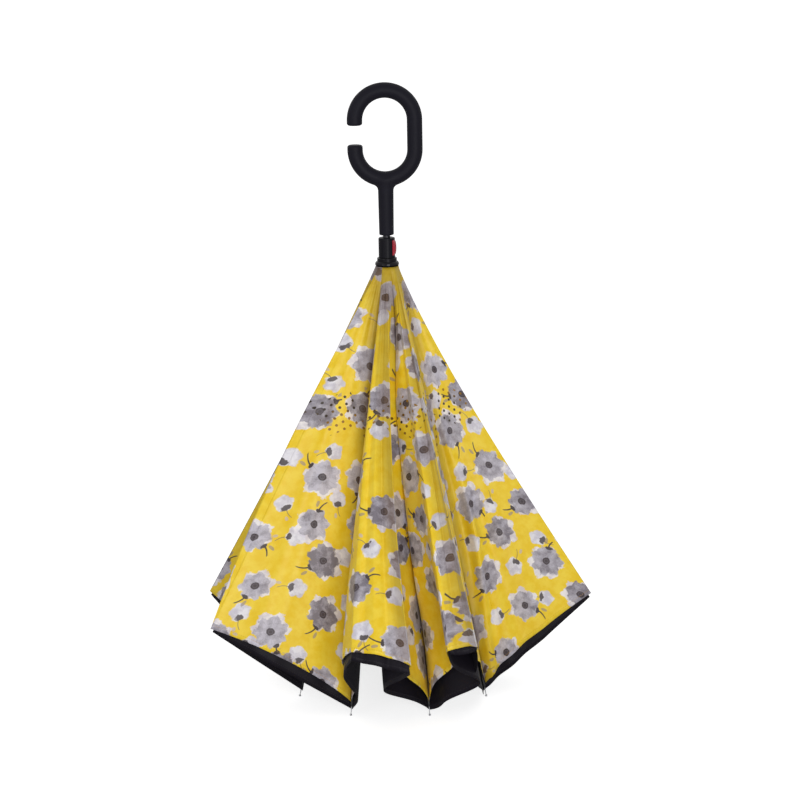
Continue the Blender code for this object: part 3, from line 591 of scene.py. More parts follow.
def folds_of(wall, lining):
    """The wall's own folds, and for a wall that the photograph hides, a few drawn from a seed."""
    if wall["word"] in FOLDS:
        return FOLDS[wall["word"]] + (LINING_FOLDS.get(wall["word"], ()) if lining else ())
    draw = np.random.default_rng(11 + 7 * wall["panel"] + len(wall["word"]))
    found = [(0.5, 0.3, draw.uniform(2, 6), 0.15, 0.95)]
    for place in (0.22, 0.45, 0.7):
        found.append((place + draw.uniform(-0.08, 0.08), draw.uniform(0.05, 0.09),
                      draw.choice((-1, 1)) * draw.uniform(1.2, 2.6), draw.uniform(0.05, 0.35), 0.85))
    return found


def rim_line(wall, g, end):
    """The wall's lower edge: the straight line between its two ends, drawn up by HOLLOW times a
    skewed arch, or for the lining let down by its own drop."""
    first, last = wall["edges"]
    rim = first[end] * (1 - g) + last[end] * g
    near_rib = g if first["rib"] is not None else 1 - g
    arch = (4 * g * (1 - g)) ** 0.8 * (1.25 - 0.5 * near_rib)
    hollow = HOLLOW * min(np.linalg.norm(last[end] - first[end]) / HOLLOW_WIDTH, 1.0)
    if end == "lining":
        hollow = -LINING_DROPS.get(wall["word"], 0.0) * MM
    return rim + unit(PIVOT_Z * UP - rim) * hollow * arch


def relief(wall, g, s, end):
    """How far the cloth stands off its plane: folds that are bell shapes across and grow along the
    wall, a swell beside a crease, which rounds it, and small gathers, a sine across, which lie
    under the collar."""
    first, last = wall["edges"]
    wide = np.linalg.norm(last[end] - first[end])
    held = 1.0
    swell = 0.0
    for edge, distance in ((first, g), (last, 1 - g)):
        reach = distance * wide * s
        if edge["rib"] is None:
            swell = swell + CREST_SWELL * (1 - np.exp(-reach / CREST_ROUND)) * (1 - distance) ** 2
        held = held * (1 - np.exp(-(distance / FOLD_HOLD) ** 2))
    depth = 0.0
    for place, width, deep, begin, full, *drift in folds_of(wall, end == "lining"):
        place = place + sum(drift) * s
        depth = depth + deep * MM * np.exp(-((g - place) / width) ** 2) * smooth_rise(s, begin, full)
    gather = np.sin(ROUND * GATHER_COUNT * (g + 0.13 * wall["panel"])) * smooth_rise(s, 0.0, 0.07)
    gather = GATHER * gather * (1 - smooth_rise(s, 0.2, 0.7)) * np.sin(math.pi * g)
    return depth * held + swell * smooth_rise(s, 0.0, 0.15) + gather


def wall_surface(wall, across, along, end="end"):
    """The wall's points. Each line across runs from the first edge to the last, and each line along
    runs from the collar's circle to the rim: straight at a rib, and at a crease with a flare that
    dies away down the line that the walls turn on. A bow is a sine along the crease, and dies away
    across the wall. Where this wall alone bows, the share beside the crease is turned back to the
    straight line."""
    first, last = wall["edges"]
    turned = [edge["bow"][2] == word for edge, word in ((first, "after"), (last, "before"))]
    turn_back = TURN_BACK.get(wall["word"], PLAIN_TURN_BACK)
    low, high = turn_back * turned[0], 1 - turn_back * turned[1]
    across, raw = np.clip((across - low) / (high - low), 0, 1), across
    g = across[None, :, None]
    s = along[:, None, None]
    top = top_point(wall["panel"], first["share"] * (1 - across) + last["share"] * across)[None]
    line = first["start"] * (1 - g) + last["start"] * g
    points = line * (1 - s) + rim_line(wall, g, end) * s + (top - line) * (1 - s) ** FLARE
    back = [np.clip(1 - side / turn_back, 0, 1) * turns for side, turns in zip((raw, 1 - raw), turned)]
    for edge, share, away, word in ((first, 1 - g, back[0], "after"), (last, g, back[1], "before")):
        bow, power, bowed = edge["bow"]
        if bowed in (word, "both"):
            points = points + bow * np.sin(math.pi * s ** power) * (share - away[None, :, None])
    return points + relief(wall, g, s, end) * wall_normal(wall)


def cut_places(wall, across, along, end):
    """Each point's place on the flat cut panel, in metres: its distance from the collar and its
    angle from the panel's middle line. Every panel is cut from another part of the cloth."""
    first, last = wall["edges"]
    share = first["share"] * (1 - across) + last["share"] * across
    angle = (share - 0.5) * 2 * HALF_PANEL
    lengths = [np.linalg.norm(edge[end] - PIVOT_Z * UP) for edge in (first, last)]
    length = (lengths[0] * (1 - across) + lengths[1] * across)[None] * along[:, None]
    step = PANEL_STEP * (wall["panel"] + 1)
    return np.stack([length * np.sin(angle)[None] + step, length * np.cos(angle)[None]], -1)


def cloth_mesh(name, points, cut, beside):
    """A grid of points as a mesh, with its place on the cut cloth and its distances from the hem
    and the seam as two UV maps."""
    rows, columns = points.shape[:2]
    mesh = bpy.data.meshes.new(name)
    mesh.from_pydata(points.reshape(-1, 3).tolist(), [], faces_of(rows, columns).tolist())
    corner = np.empty(len(mesh.loops), int)
    mesh.loops.foreach_get("vertex_index", corner)
    for word, values in (("cut", cut), ("beside", beside)):
        layer = mesh.uv_layers.new(name=word)
        layer.data.foreach_set("uv", values.reshape(-1, 2)[corner].astype(np.float32).ravel())
    return mesh


def give_thickness(piece, thickness):
    """Cloth has a thickness, to both sides of its surface."""
    solid = piece.modifiers.new("ply", "SOLIDIFY")
    solid.thickness = thickness
    solid.offset = 0.0


def weave_group():
    """Plain weave: two sets of threads as sine waves along and across the cut cloth, over and under
    each other, as a bent normal and as a value for the colour between the threads."""
    made, given, end = group("plain weave", {"Cut": ("NodeSocketVector", None),
                                             "Thread": ("NodeSocketFloat", 0.0004),
                                             "Depth": ("NodeSocketFloat", 0.00003)},
                             {"Normal": "NodeSocketVector", "Gaps": "NodeSocketFloat"})
    spread = given["Cut"].vector_math("SCALE", scale=Shade.math(given["Thread"], "POWER", -1.0))
    across, along, _ = spread.parts()
    warp = (across * math.pi).math("SINE").math("ABSOLUTE")
    weft = (along * math.pi).math("SINE").math("ABSOLUTE")
    over = (across.math("FLOOR") + along.math("FLOOR")).math("PINGPONG", 1.0)
    height = warp * over + weft * (over * -1.0 + 1.0)
    feed(end.inputs["Normal"], node(made, "ShaderNodeBump", Height=height, Distance=given["Depth"]))
    feed(end.inputs["Gaps"], height)
    return made


WEAVE = weave_group()
HEM_WIDTH = 6.5 * MM
SEAM_WIDTH = 3.1 * MM
STITCH_ROW = 5.5 * MM
STITCH = 2.8 * MM


def hem_group():
    """A turned hem and a rib seam, from the distances beside them: a step where the turned edge
    ends, and a row of stitches that dip along it. Given as a bent normal and as a thread value."""
    made, given, end = group("hem and seam", {"Beside": ("NodeSocketVector", None),
                                              "Normal": ("NodeSocketVector", None)},
                             {"Normal": "NodeSocketVector", "Thread": "NodeSocketFloat"})
    hem, seam, _ = given["Beside"].parts()
    soft = 0.3 * MM
    step = hem.over(HEM_WIDTH + soft, HEM_WIDTH - soft) * 0.6
    step = step + seam.over(SEAM_WIDTH + soft, SEAM_WIDTH - soft) * 0.6
    row = (hem - STITCH_ROW).math("ABSOLUTE").over(0.6 * MM, 0.2 * MM)
    beat = (seam * (math.tau / STITCH)).math("SINE").over(-0.2, 0.5)
    thread = row * beat
    height = step - thread * 0.7
    feed(end.inputs["Normal"], node(made, "ShaderNodeBump", Height=height, Distance=0.3 * MM,
                                    Normal=given["Normal"]))
    feed(end.inputs["Thread"], thread)
    return made


HEM = hem_group()


def cloth_maps(tree, thread, depth):
    """The cloth's place on its cut, its weave with hem and seam, and the values of both."""
    cut = node(tree, "ShaderNodeUVMap", settings={"uv_map": "cut"})
    beside = node(tree, "ShaderNodeUVMap", settings={"uv_map": "beside"})
    woven, gaps = node(tree, "ShaderNodeGroup", ("Normal", "Gaps"), {"node_tree": WEAVE}, Cut=cut,
                       Thread=thread, Depth=depth)
    normal, stitches = node(tree, "ShaderNodeGroup", ("Normal", "Thread"), {"node_tree": HEM},
                            Beside=beside, Normal=woven)
    return cut, normal, gaps, stitches


def lining_material():
    """Black coated polyester: a close weave with a faint bloom and a soft shine."""
    made, tree, shader = finish("black lining cloth", Specular_IOR_Level=0.12, Sheen_Weight=0.02,
                                Sheen_Roughness=0.5)
    cut, normal, gaps, stitches = cloth_maps(tree, 0.5 * MM, 0.02 * MM)
    bloom = noise(tree, cut, 30.0, 4.0)
    tone = mixed(tree, bloom * 0.6 + gaps * 0.15, paint(15, 12, 19), paint(30, 26, 35))
    feed(shader.inputs["Base Color"], mixed(tree, stitches, tone, paint(46, 43, 50)))
    feed(shader.inputs["Roughness"], bloom * 0.12 + 0.4)
    feed(shader.inputs["Normal"], normal)
    return made


LINING = lining_material()
WALLS = wall_list()


def spaced(count, tight):
    """Shares from 0 to 1, closer together towards 1 by the power tight."""
    return 1 - (1 - np.linspace(0, 1, count)) ** tight


def columns_of(wall, count):
    """The grid's columns, closer together at the creases."""
    first, last = wall["edges"]
    if first["rib"] is not None:
        return spaced(count, 1.3)
    if last["rib"] is not None:
        return 1 - spaced(count, 1.3)[::-1]
    return smooth_rise(np.linspace(0, 1, count), 0, 1) * 0.6 + np.linspace(0, 1, count) * 0.4


# How far from a rib the cloth turns with the rib in part, in millimetres, where it is less, and how
# far from its crease a front wall turns with the left wall in part.
RIB_TURN = 22.0
SHORT_RIB_TURN = {"3_left": 11.0}
FRONT_TURN = 1.5


def carriers(wall):
    """The two bodies that a wall turns with, and the points between which it goes from one to the
    other: from the rib's line to RIB_TURN across the wall, and from a crease to FRONT_TURN."""
    first, last = wall["edges"]
    near, far = (first, last) if last["rib"] is None else (last, first)
    if near["rib"] is None:
        carrier = f"canopy_{wall['panel'] + 1}_left"
        start = near["start"]
        length = FRONT_TURN * MM
    else:
        carrier = f"rib_{near['rib'] + 1}"
        start = rib_line(near["rib"])[0]
        length = SHORT_RIB_TURN.get(wall["word"], RIB_TURN) * MM
    line = unit(near["end"] - start)
    across = far["end"] - start
    across = unit(across - line * across.dot(line))
    if near["bow"][2] == "both":
        start = start + max(near["bow"][0].dot(across), 0.0) * across
    return (carrier, f"canopy_{wall['word']}"), start, start + length * across


def hang(wall, name, material, across, along, end):
    """One wall's piece of cloth: its mesh, its material and its thickness. The bodies that would carry it
    are worked out, but the piece is not attached to them. The lining hangs inside the printed layer, by the
    shift of its two edges and by a belly between them that is the root of a sine."""
    points = wall_surface(wall, across, along, end)
    if end == "lining":
        first, last = [edge_shift(edge, WALLS) for edge in wall["edges"]]
        inner = first[None] * (1 - across)[:, None] + last[None] * across[:, None]
        inner = inner - wall_normal(wall) * (PLY_BELLY * np.sin(across * math.pi) ** 0.5)[:, None]
        points = points + inner[None] * smooth_rise(along, 0.0, 0.3)[:, None, None]
    cut = cut_places(wall, across, along, end)
    width = np.linalg.norm(points[-1, -1] - points[-1, 0])
    to_rib = across if wall["edges"][0]["rib"] is not None else 1 - across
    beside = np.stack([(1 - along)[:, None] * HEM_REACH + 0 * across[None],
                       along[:, None] * to_rib[None] * width], -1)
    made = add_piece(name, cloth_mesh(name, points, cut, beside), [material])
    give_thickness(made, CLOTH_THICKNESS)
    bodies, start, stop = carriers(wall)
    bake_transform(made)
    return made


def declare(piece, wall, near_length, far_length, cut_off, slot):
    """Works out the size that a wall's cloth was cut to: the area and the width of the triangle between its
    two edges, without the part above cut_off. Nothing is kept of it."""
    first, last = wall["edges"]
    angle = (last["share"] - first["share"]) * 2 * HALF_PANEL
    area = (near_length * far_length - cut_off ** 2) / 2 * math.sin(angle)
    width = 2 * near_length * math.sin(angle / 2)
    max(near_length, far_length) - cut_off


def make_lining():
    """One piece for each wall, from the ribs' joints to the hem."""
    for wall in WALLS:
        across = columns_of(wall, 44)
        along = np.linspace(LINING_START / LINING_RIM, 1.0, 48)
        made = hang(wall, f"lining_{wall['word']}", LINING, across, along, "lining")
        ends = [np.linalg.norm(edge["lining"] - PIVOT_Z * UP) for edge in wall["edges"]]
        declare(made, wall, *ends, LINING_START, "lining_cloth")


make_lining()


# Printed layer: the canopy's outer cloth, woven polyester with a watercolour print of grey blossoms
# on yellow and a band of small vent holes. It is sewn to the ribs' tips and held under the collar.
BLOSSOM_SPACING = 67.0
BLOSSOM_SPREAD = 0.42
PRINT_TURN = 0.47
# The width beside a rib's seam over which the cloth is darkened: painted shade in place of the shadow deep
# in a rib's valley.
PAINTED_RIB_SHADE_WIDTH = 26.0 * MM
# The vent holes' rows and pitch, and the diamonds that they lie in, on the cut cloth in millimetres.
VENT_ROWS = 7.6
VENT_PITCH = 11.0
VENT_MIDDLE = 193.0
DIAMOND_WIDTH = 58.0
DIAMOND_HALF = 30.0


def blossoms(tree, place, offset):
    """Scattered cells, one to a blossom: the vector from the blossom's middle in millimetres, and
    three random numbers of its own."""
    moved = place.vector_math("ADD", offset)
    middle, chance = node(tree, "ShaderNodeTexVoronoi", ("Position", "Color"), {"voronoi_dimensions": "2D"},
                          Vector=moved, Scale=1 / BLOSSOM_SPACING, Randomness=BLOSSOM_SPREAD)
    away = moved.vector_math("SUBTRACT", middle)
    return away, chance.parts()


def turned_by(away, angle):
    """A vector's X and Y after a turn by minus the angle."""
    x, y, _ = away.parts()
    cosine, sine = angle.math("COSINE"), angle.math("SINE")
    return x * cosine + y * sine, y * cosine - x * sine


def bloom_edge(x, y, size, petals, depth, phase, ragged):
    """1 inside a blossom and 0 outside: its radius swings with the angle, once for each petal, and
    wet paint makes it ragged."""
    radius = (x * x + y * y).math("SQRT")
    angle = y.math("ARCTAN2", x)
    swing = (angle * petals + phase).math("COSINE") * depth
    reach = size * (swing + (ragged - 0.5) * 0.34 + 0.84)
    return (reach - radius).over(-1.0, 1.0), radius, angle


def oval(x, y, wide, high):
    """1 on an oval's outline, less inside and more outside: the sum of the squares of the two
    distances over its half sizes."""
    across, up = x / wide, y / high
    return across * across + up * up


def small_blossoms(tree, place, colour, ragged, paled, fine):
    """Pale small blossoms of five petals, each with a bud, a bent sprig and a dark foot."""
    half = BLOSSOM_SPACING / 2
    away, (first, second, third) = blossoms(tree, place, (half, half, 0.0))
    x, y = turned_by(away, second * math.tau)
    small = first * 3.5 + 11.5
    body, _, _ = bloom_edge(x, y, small, 5.0, 0.07, third * 6.0, ragged)
    pale = mixed(tree, paled * 0.75 + fine * 0.25, paint(198, 195, 210), paint(240, 239, 246))
    colour = mixed(tree, body, colour, pale)
    blot = oval(x + small * 0.55, y, 3.6, 5.6).math("SQRT")
    blot = (blot - (ragged - 0.5) * 1.6).over(1.08, 0.82)
    sprig = ((y - (x + small) * (x + small) * 0.03).math("ABSOLUTE").over(0.75, 0.3)
             * (x + small * 1.75).over(-0.5, 0.5) * (x + small * 0.7).over(0.5, -0.5))
    bud = oval(x + small * 1.7, y + 3.2, 3.4, 2.0).over(1.2, 0.7)
    colour = mixed(tree, bud * 0.8, colour, paint(206, 190, 176))
    colour = mixed(tree, sprig * 0.75, colour, paint(126, 108, 92))
    return mixed(tree, blot * 0.95, colour, paint(66, 63, 72))


def large_blossoms(tree, place, colour, ragged, wash, paled, fine):
    """Large grey blossoms of seven petals, each over a pale one that slipped aside, with streaks,
    veins and a dark ringed eye, and at the foot a leaf, a cup and a bent stalk."""
    away, (first, second, third) = blossoms(tree, place, (0.0, 0.0, 0.0))
    large = first * 6.0 + 19.5
    x, y = turned_by(away, third * math.tau)
    slipped, _, _ = bloom_edge(x + 3.2, y + 1.4, large * 1.1, 6.0, 0.11, second * 9.0, ragged)
    pale = mixed(tree, paled, paint(214, 210, 226), paint(244, 242, 248))
    colour = mixed(tree, slipped * 0.92, colour, pale)
    body, radius, angle = bloom_edge(x, y, large, 7.0, 0.09, second * 6.0, ragged)
    streak = (angle * 7.0 + second * 6.0).math("COSINE") * (radius / large)
    tone = (wash - 0.5) * 2.2 + streak * 0.16 + (second - 0.5) * 0.8 + (fine - 0.5) * 0.5 + 0.5
    grey = mixed(tree, tone.math("MULTIPLY", 1.0, clamp=True), paint(122, 118, 130), paint(200, 197, 210))
    colour = mixed(tree, body, colour, grey)
    vein = (angle * 3.5 + second * 3.0).math("SINE").math("ABSOLUTE").over(0.12, 0.02)
    vein = vein * radius.over(large * 0.3, large * 0.5) * radius.over(large * 0.85, large * 0.7)
    colour = mixed(tree, vein * 0.35, colour, paint(118, 114, 128))
    eye = (radius - (ragged - 0.5) * 2.4).over(5.3, 4.5)
    ring = (radius - 2.6).math("ABSOLUTE").over(0.9, 0.3)
    colour = mixed(tree, eye, colour, mixed(tree, ring * 0.4, paint(60, 56, 68), paint(104, 99, 112)))
    foot = x - large * 0.84
    cup = oval(foot, y, 2.4, 4.6).math("SQRT")
    cup = (cup - (ragged - 0.5) * 1.4).over(1.08, 0.82)
    stalk = ((y - foot * foot * 0.035).math("ABSOLUTE").over(1.25, 0.7) * foot.over(-0.5, 0.5)
             * foot.over(large * 0.68, large * 0.6))
    leaf = oval(foot - large * 0.4, y + 4.2, 4.6, 2.0).over(1.2, 0.8)
    colour = mixed(tree, leaf * 0.7, colour, paint(150, 138, 132))
    colour = mixed(tree, cup, colour, paint(62, 59, 68))
    return mixed(tree, stalk, colour, paint(58, 54, 56))


def printed_cloth():
    """The printed cloth's colour is laid in washes: yellow, small blossoms, large ones and the vent holes,
    as the print was;
    then painted shade beside a rib's seam, which stands in for the shadow deep in the valley at a rib; and
    the stitches. The print is measured in millimetres on the flat cloth."""
    made, tree, shader = finish("yellow printed cloth", Specular_IOR_Level=0.36, Sheen_Weight=0.04,
                                Sheen_Roughness=0.5)
    cut, normal, gaps, stitches = cloth_maps(tree, 0.45 * MM, 0.018 * MM)
    straight = cut.vector_math("SCALE", scale=1 / MM)
    place = node(tree, "ShaderNodeVectorRotate", Vector=straight, Angle=PRINT_TURN)
    ragged = noise(tree, place, 0.17, 2.0, noise_dimensions="2D")
    wash = node(tree, "ShaderNodeTexNoise", "Fac", {"noise_dimensions": "2D"}, Vector=place, Scale=0.07,
                Detail=4.0, Roughness=0.6)
    fine = noise(tree, place, 0.6, 2.0, noise_dimensions="2D")
    paled = wash.over(0.35, 0.65)
    colour = mixed(tree, wash.over(0.3, 0.7), paint(242, 204, 24), paint(248, 217, 60))
    colour = small_blossoms(tree, place, colour, ragged, paled, fine)
    colour = large_blossoms(tree, place, colour, ragged, wash, paled, fine)
    loose = noise(tree, place, 0.02, 2.0, noise_dimensions="2D").over(0.42, 0.58)
    dark = mixed(tree, loose, paint(24, 20, 24), paint(150, 108, 26))
    colour = mixed(tree, vents(straight), colour, dark)
    # Painted shade: beside each rib's seam the colour is drawn halfway towards dark brown, in place of the
    # shadow deep in the rib's valley.
    _, seam, _ = node(tree, "ShaderNodeUVMap", settings={"uv_map": "beside"}).parts()
    colour = mixed(tree, seam.over(PAINTED_RIB_SHADE_WIDTH, 0.0) * 0.5, colour, paint(96, 66, 22))
    colour = mixed(tree, gaps * 0.05 + stitches * 0.5, colour, paint(214, 160, 24))
    feed(shader.inputs["Base Color"], colour)
    feed(shader.inputs["Roughness"], fine * 0.12 + 0.36)
    feed(shader.inputs["Normal"], normal)
    return made


def vents(place):
    """The vent holes: rows of round holes, every other row set over by half, inside diamonds that
    follow each other across the panel. Given as 1 in a hole and 0 outside."""
    x, y, _ = place.parts()
    x = x.math("WRAP", PANEL_STEP / MM / 2, -PANEL_STEP / MM / 2)
    row = (y / VENT_ROWS).math("FLOOR").math("MODULO", 2.0)
    across = ((x / VENT_PITCH + row * 0.5).math("FRACT") - 0.5) * VENT_PITCH
    along = ((y / VENT_ROWS).math("FRACT") - 0.5) * VENT_ROWS
    hole = (across * across + along * along).math("SQRT").over(2.1, 1.5)
    sideways = ((x / DIAMOND_WIDTH).math("FRACT") - 0.5).math("ABSOLUTE") * 2.0
    diamond = sideways + (y - VENT_MIDDLE).math("ABSOLUTE") / DIAMOND_HALF
    return hole * diamond.math("LESS_THAN", 1.12)


PRINTED = printed_cloth()


def make_printed_layer():
    """One piece for each wall, from under the collar to the rim, in the CAD wall's place."""
    for wall in WALLS:
        across = columns_of(wall, 44)
        along = np.linspace(0.0, 1.0, 96)
        made = hang(wall, f"printed_{wall['word']}", PRINTED, across, along, "end")
        ends = [np.linalg.norm(edge["end"] - PIVOT_Z * UP) for edge in wall["edges"]]
        declare(made, wall, *ends, 0.0, "yellow_cloth")
        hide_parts(f"canopy_{wall['word']}")


make_printed_layer()


# Facings: a strip of each cloth, most of a wall wide, lies between the two layers behind every crease where
# two walls meet edge to edge. It rides on one of the two walls and covers that crease from behind.
FACING_SHARE = 0.8
FACING_ENDS = (0.03, 0.985)
FACING_THICKNESS = 0.1 * MM
FACING_TILT = math.radians(15.0)
# How far a facing slides at the collar, and how much further at the rim, in millimetres.
FACING_SLIDE = (7.0, 4.0)
LONG_SLIDES = {1: (7.0, 18.0), 3: (8.0, 30.0), 7: (8.0, 14.0)}
# Each facing's cloth, and how far it lies inside the printed layer.
FACINGS = (("printed", PRINTED, "yellow_cloth", 0.4 * MM), ("lining", LINING, "lining_cloth", 0.72 * MM))
NO_SEAM = 0.1


def make_facings():
    """A facing is the part of a wall that lies within FACING_SHARE of its crease, set inwards, and it rides
    on that wall's body. The far plane of its slide is worked out, tilted so that the strip would move
    further at the rim than at the collar, a point by its distance from that plane times a small share, but
    the slide is not applied."""
    along = np.linspace(*FACING_ENDS, 60)
    for k in range(RIB_COUNT):
        closing = [wall for wall in WALLS if wall["panel"] == k][-2:]
        turned = len(PLEATS[k]) > 1 or closing[0]["edges"][1]["bow"][2] == "before"
        own = closing[1] if turned else closing[0]
        crease, other = own["edges"] if turned else own["edges"][::-1]
        across = np.linspace(0.0, FACING_SHARE, 14)
        if not turned:
            across = 1 - across[::-1]
        line = unit(crease["end"] - crease["start"])
        out = crease["end"] - other["end"]
        out = out - line * out.dot(line)
        out = unit(out)
        length = np.linalg.norm(crease["end"] - crease["start"])
        slide, growth = np.array(LONG_SLIDES.get(k, FACING_SLIDE)) * MM
        share = growth / (length * math.sin(FACING_TILT) * math.cos(FACING_TILT))
        axis = math.cos(FACING_TILT) * out - math.sin(FACING_TILT) * line
        anchor = crease["start"] + slide / (share * math.cos(FACING_TILT) ** 2) * out
        cut = cut_places(own, across, along, "end")
        beside = np.full(cut.shape, NO_SEAM)
        for word, material, slot, inset in FACINGS:
            points = wall_surface(own, across, along) - wall_normal(own) * inset
            mesh = cloth_mesh(f"facing_{word}_{k + 1}", points, cut, beside)
            made = add_piece(mesh.name, mesh, [material])
            give_thickness(made, FACING_THICKNESS)
            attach(made, f"canopy_{own['word']}")
            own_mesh(made)


make_facings()


# Inner crown: eight black panels of the lining's cloth, sewn to the struts from the notch to the
# ribs' joints, which close the inner layer round the far end. Each folds in the middle, as the
# canopy's panels do, and is hemmed where it meets the lining.
NOTCH_RADIUS = 8.5 * MM
NOTCH_Z = (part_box("notch_ring_wire")[0].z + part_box("notch_ring_wire")[1].z) / 2
STRUT_LENGTH = 270.0 * MM
STRUT_REST = math.asin((PIVOT_RADIUS - NOTCH_RADIUS + JOINT_PLACE * math.sin(RIB_REST)) / STRUT_LENGTH)
STRUT_OPEN = math.radians(59.58)
CROWN_SIDE = 2.8 * MM
CROWN_START = 12.0 * MM
CROWN_EDGE = 250.0 * MM
CROWN_CREST = 236.0 * MM
CROWN_LEAN = 0.45
CROWN_DRAW = math.radians(3.5)
CROWN_BELLY = 1.6 * MM
CROWN_TURN = 12.0 * MM
# Half of the angle between two struts when the umbrella is open.
CROWN_HALF = math.acos(math.sin(STRUT_OPEN) ** 2 * math.cos(ROUND / RIB_COUNT)
                       + math.cos(STRUT_OPEN) ** 2) / 2


def strut_line(k):
    """Strut k at rest: its pivot, its direction, and the side of it that faces out of the canopy."""
    out = outward(turn_of(k))
    return (NOTCH_RADIUS * out + NOTCH_Z * UP, math.sin(STRUT_REST) * out + math.cos(STRUT_REST) * UP,
            math.cos(STRUT_REST) * out - math.sin(STRUT_REST) * UP)


def crown_crease(k):
    """The crease of crown panel k: its start and its direction. A taut panel's crease would hang at
    the angle where its wider side spans the same as when open, and this one hangs CROWN_DRAW less."""
    lean = CROWN_LEAN * math.radians(PLEATS[k][-1][0])
    far = math.pi / RIB_COUNT + abs(lean)
    x, y = math.sin(STRUT_REST) * math.cos(far), math.cos(STRUT_REST)
    polar = math.atan2(x, y) + math.acos(math.cos(CROWN_HALF) / math.hypot(x, y)) - CROWN_DRAW
    bases = [pivot + CROWN_SIDE * out for pivot, _, out in (strut_line(k), strut_line(k + 1))]
    turn = turn_of(k) + ROUND / RIB_COUNT / 2 + lean
    return (bases[0] + bases[1]) / 2, math.sin(polar) * outward(turn) + math.cos(polar) * UP


def crown_surface(k, j, across, along):
    """The cloth between strut j and the crease of panel k: straight lines between the two, pushed
    outwards by a shallow belly that is the sine of the share across, and by two soft folds."""
    pivot, direction, out = strut_line(j)
    start, crease = crown_crease(k)
    g = across[None, :, None]
    s = along[:, None, None]
    near = pivot + CROWN_SIDE * out + CROWN_EDGE * s * direction
    far = start + CROWN_CREST * s * crease
    side = unit(np.cross(direction, crease))
    side = side * np.sign(side.dot(out))
    draw = np.random.default_rng(61 + 5 * k + 3 * (j - k))
    depth = CROWN_BELLY * np.sin(g * math.pi)
    for place in (0.35, 0.65):
        middle = place + draw.uniform(-0.08, 0.08)
        depth = depth + draw.uniform(-1, 1) * CROWN_BELLY * np.exp(-((g - middle) / 0.12) ** 2)
    return near * (1 - g) + far * g + side * depth * smooth_rise(s, 0.1, 0.8) * np.sin(g * math.pi)


def make_crown():
    """Two pieces to a panel, each cut as half of a sector."""
    across = np.linspace(0, 1, 20)
    along = np.linspace(CROWN_START / CROWN_EDGE, 1.0, 36)
    for k in range(RIB_COUNT):
        for word, j in (("left", k), ("right", k + 1)):
            points = crown_surface(k, j, across, along)
            angle = (across - 1) * CROWN_HALF
            length = CROWN_EDGE * (1 - across) + CROWN_CREST * across
            length = length[None] * along[:, None]
            cut = np.stack([length * np.sin(angle)[None] + PANEL_STEP * (k + 1),
                            length * np.cos(angle)[None]], -1)
            wide = np.linalg.norm(points[-1, -1] - points[-1, 0])
            beside = np.stack([(1 - along)[:, None] * CROWN_EDGE + 0 * across[None],
                               along[:, None] * across[None] * wide], -1)
            mesh = cloth_mesh(f"crown_cloth_{k + 1}_{word}", points, cut, beside)
            made = add_piece(mesh.name, mesh, [LINING])
            give_thickness(made, CLOTH_THICKNESS)
            pivot, direction, _ = strut_line(j)
            toward = points[-1, -1] - pivot
            stop = pivot + unit(toward - direction * toward.dot(direction)) * CROWN_TURN
            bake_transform(made)
            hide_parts(f"crown_{k + 1}_{word}")


make_crown()


# Handle: one soft-touch moulding over the tube's end, a C-shaped ring with a stem. The ring is round
# in section, its two ends have rounded edges, and a small fillet joins it to the stem.
HANDLE_LOW, HANDLE_HIGH = [np.array(corner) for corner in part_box("handle")]
RING_HEIGHT = 129.3 * MM
RING_WIDTH = 93.3 * MM
RING_TUBE = 19.2 * MM / 2
RING_WIDE = (HANDLE_HIGH[0] - HANDLE_LOW[0]) / 2 - RING_TUBE
RING_TALL = RING_HEIGHT - RING_WIDTH
RING_MIDDLE = HANDLE_HIGH[2] - RING_HEIGHT / 2
RING_FOOT = HANDLE_HIGH[2] - RING_HEIGHT
MOUTH = 24.0 * MM / 2
MOUTH_ROUND = 3.0 * MM
STEM_TOP = 19.4 * MM / 2
STEM_END = 18.2 * MM / 2
STEM_ROUND = 1.2 * MM
STEM_OVERLAP = 10.0 * MM
FILLET = 6.0 * MM
VOXEL = 1.3 * MM
SLOPE_STEP = 0.02 * MM
MOVES = 12
SMOOTHED_MOVES = 8


def rounded_meet(first, second, edge):
    """The distance to what lies inside two surfaces, with the edge where they meet rounded."""
    first, second = first + edge, second + edge
    inside = np.minimum(np.maximum(first, second), 0)
    return inside + np.hypot(np.maximum(first, 0), np.maximum(second, 0)) - edge


def handle_distance(points):
    """How far each point lies outside the handle. The ring is what lies within RING_TUBE of a
    stadium's outline, cut by the mouth's two planes. The stem is a slightly tapered cylinder. The
    two are joined by a smooth minimum, which makes the fillet."""
    x, y, z = points[:, 0], points[:, 1], points[:, 2]
    high = z - RING_MIDDLE
    beyond = np.maximum(np.abs(high) - RING_TALL / 2, 0)
    ring = np.hypot(np.hypot(x, beyond) - RING_WIDE, y) - RING_TUBE
    mouth = np.where(x < 0, MOUTH - np.abs(high), -1.0)
    ring = rounded_meet(ring, mouth, MOUTH_ROUND)
    share = np.clip((z - HANDLE_LOW[2]) / (RING_FOOT - HANDLE_LOW[2]), 0, 1)
    side = np.hypot(x, y) - STEM_END - (STEM_TOP - STEM_END) * share
    stem = rounded_meet(side, np.maximum(HANDLE_LOW[2] - z, z - RING_FOOT - STEM_OVERLAP), STEM_ROUND)
    share = np.clip(0.5 + (stem - ring) / (2 * FILLET), 0, 1)
    return stem * (1 - share) + ring * share - FILLET * share * (1 - share)


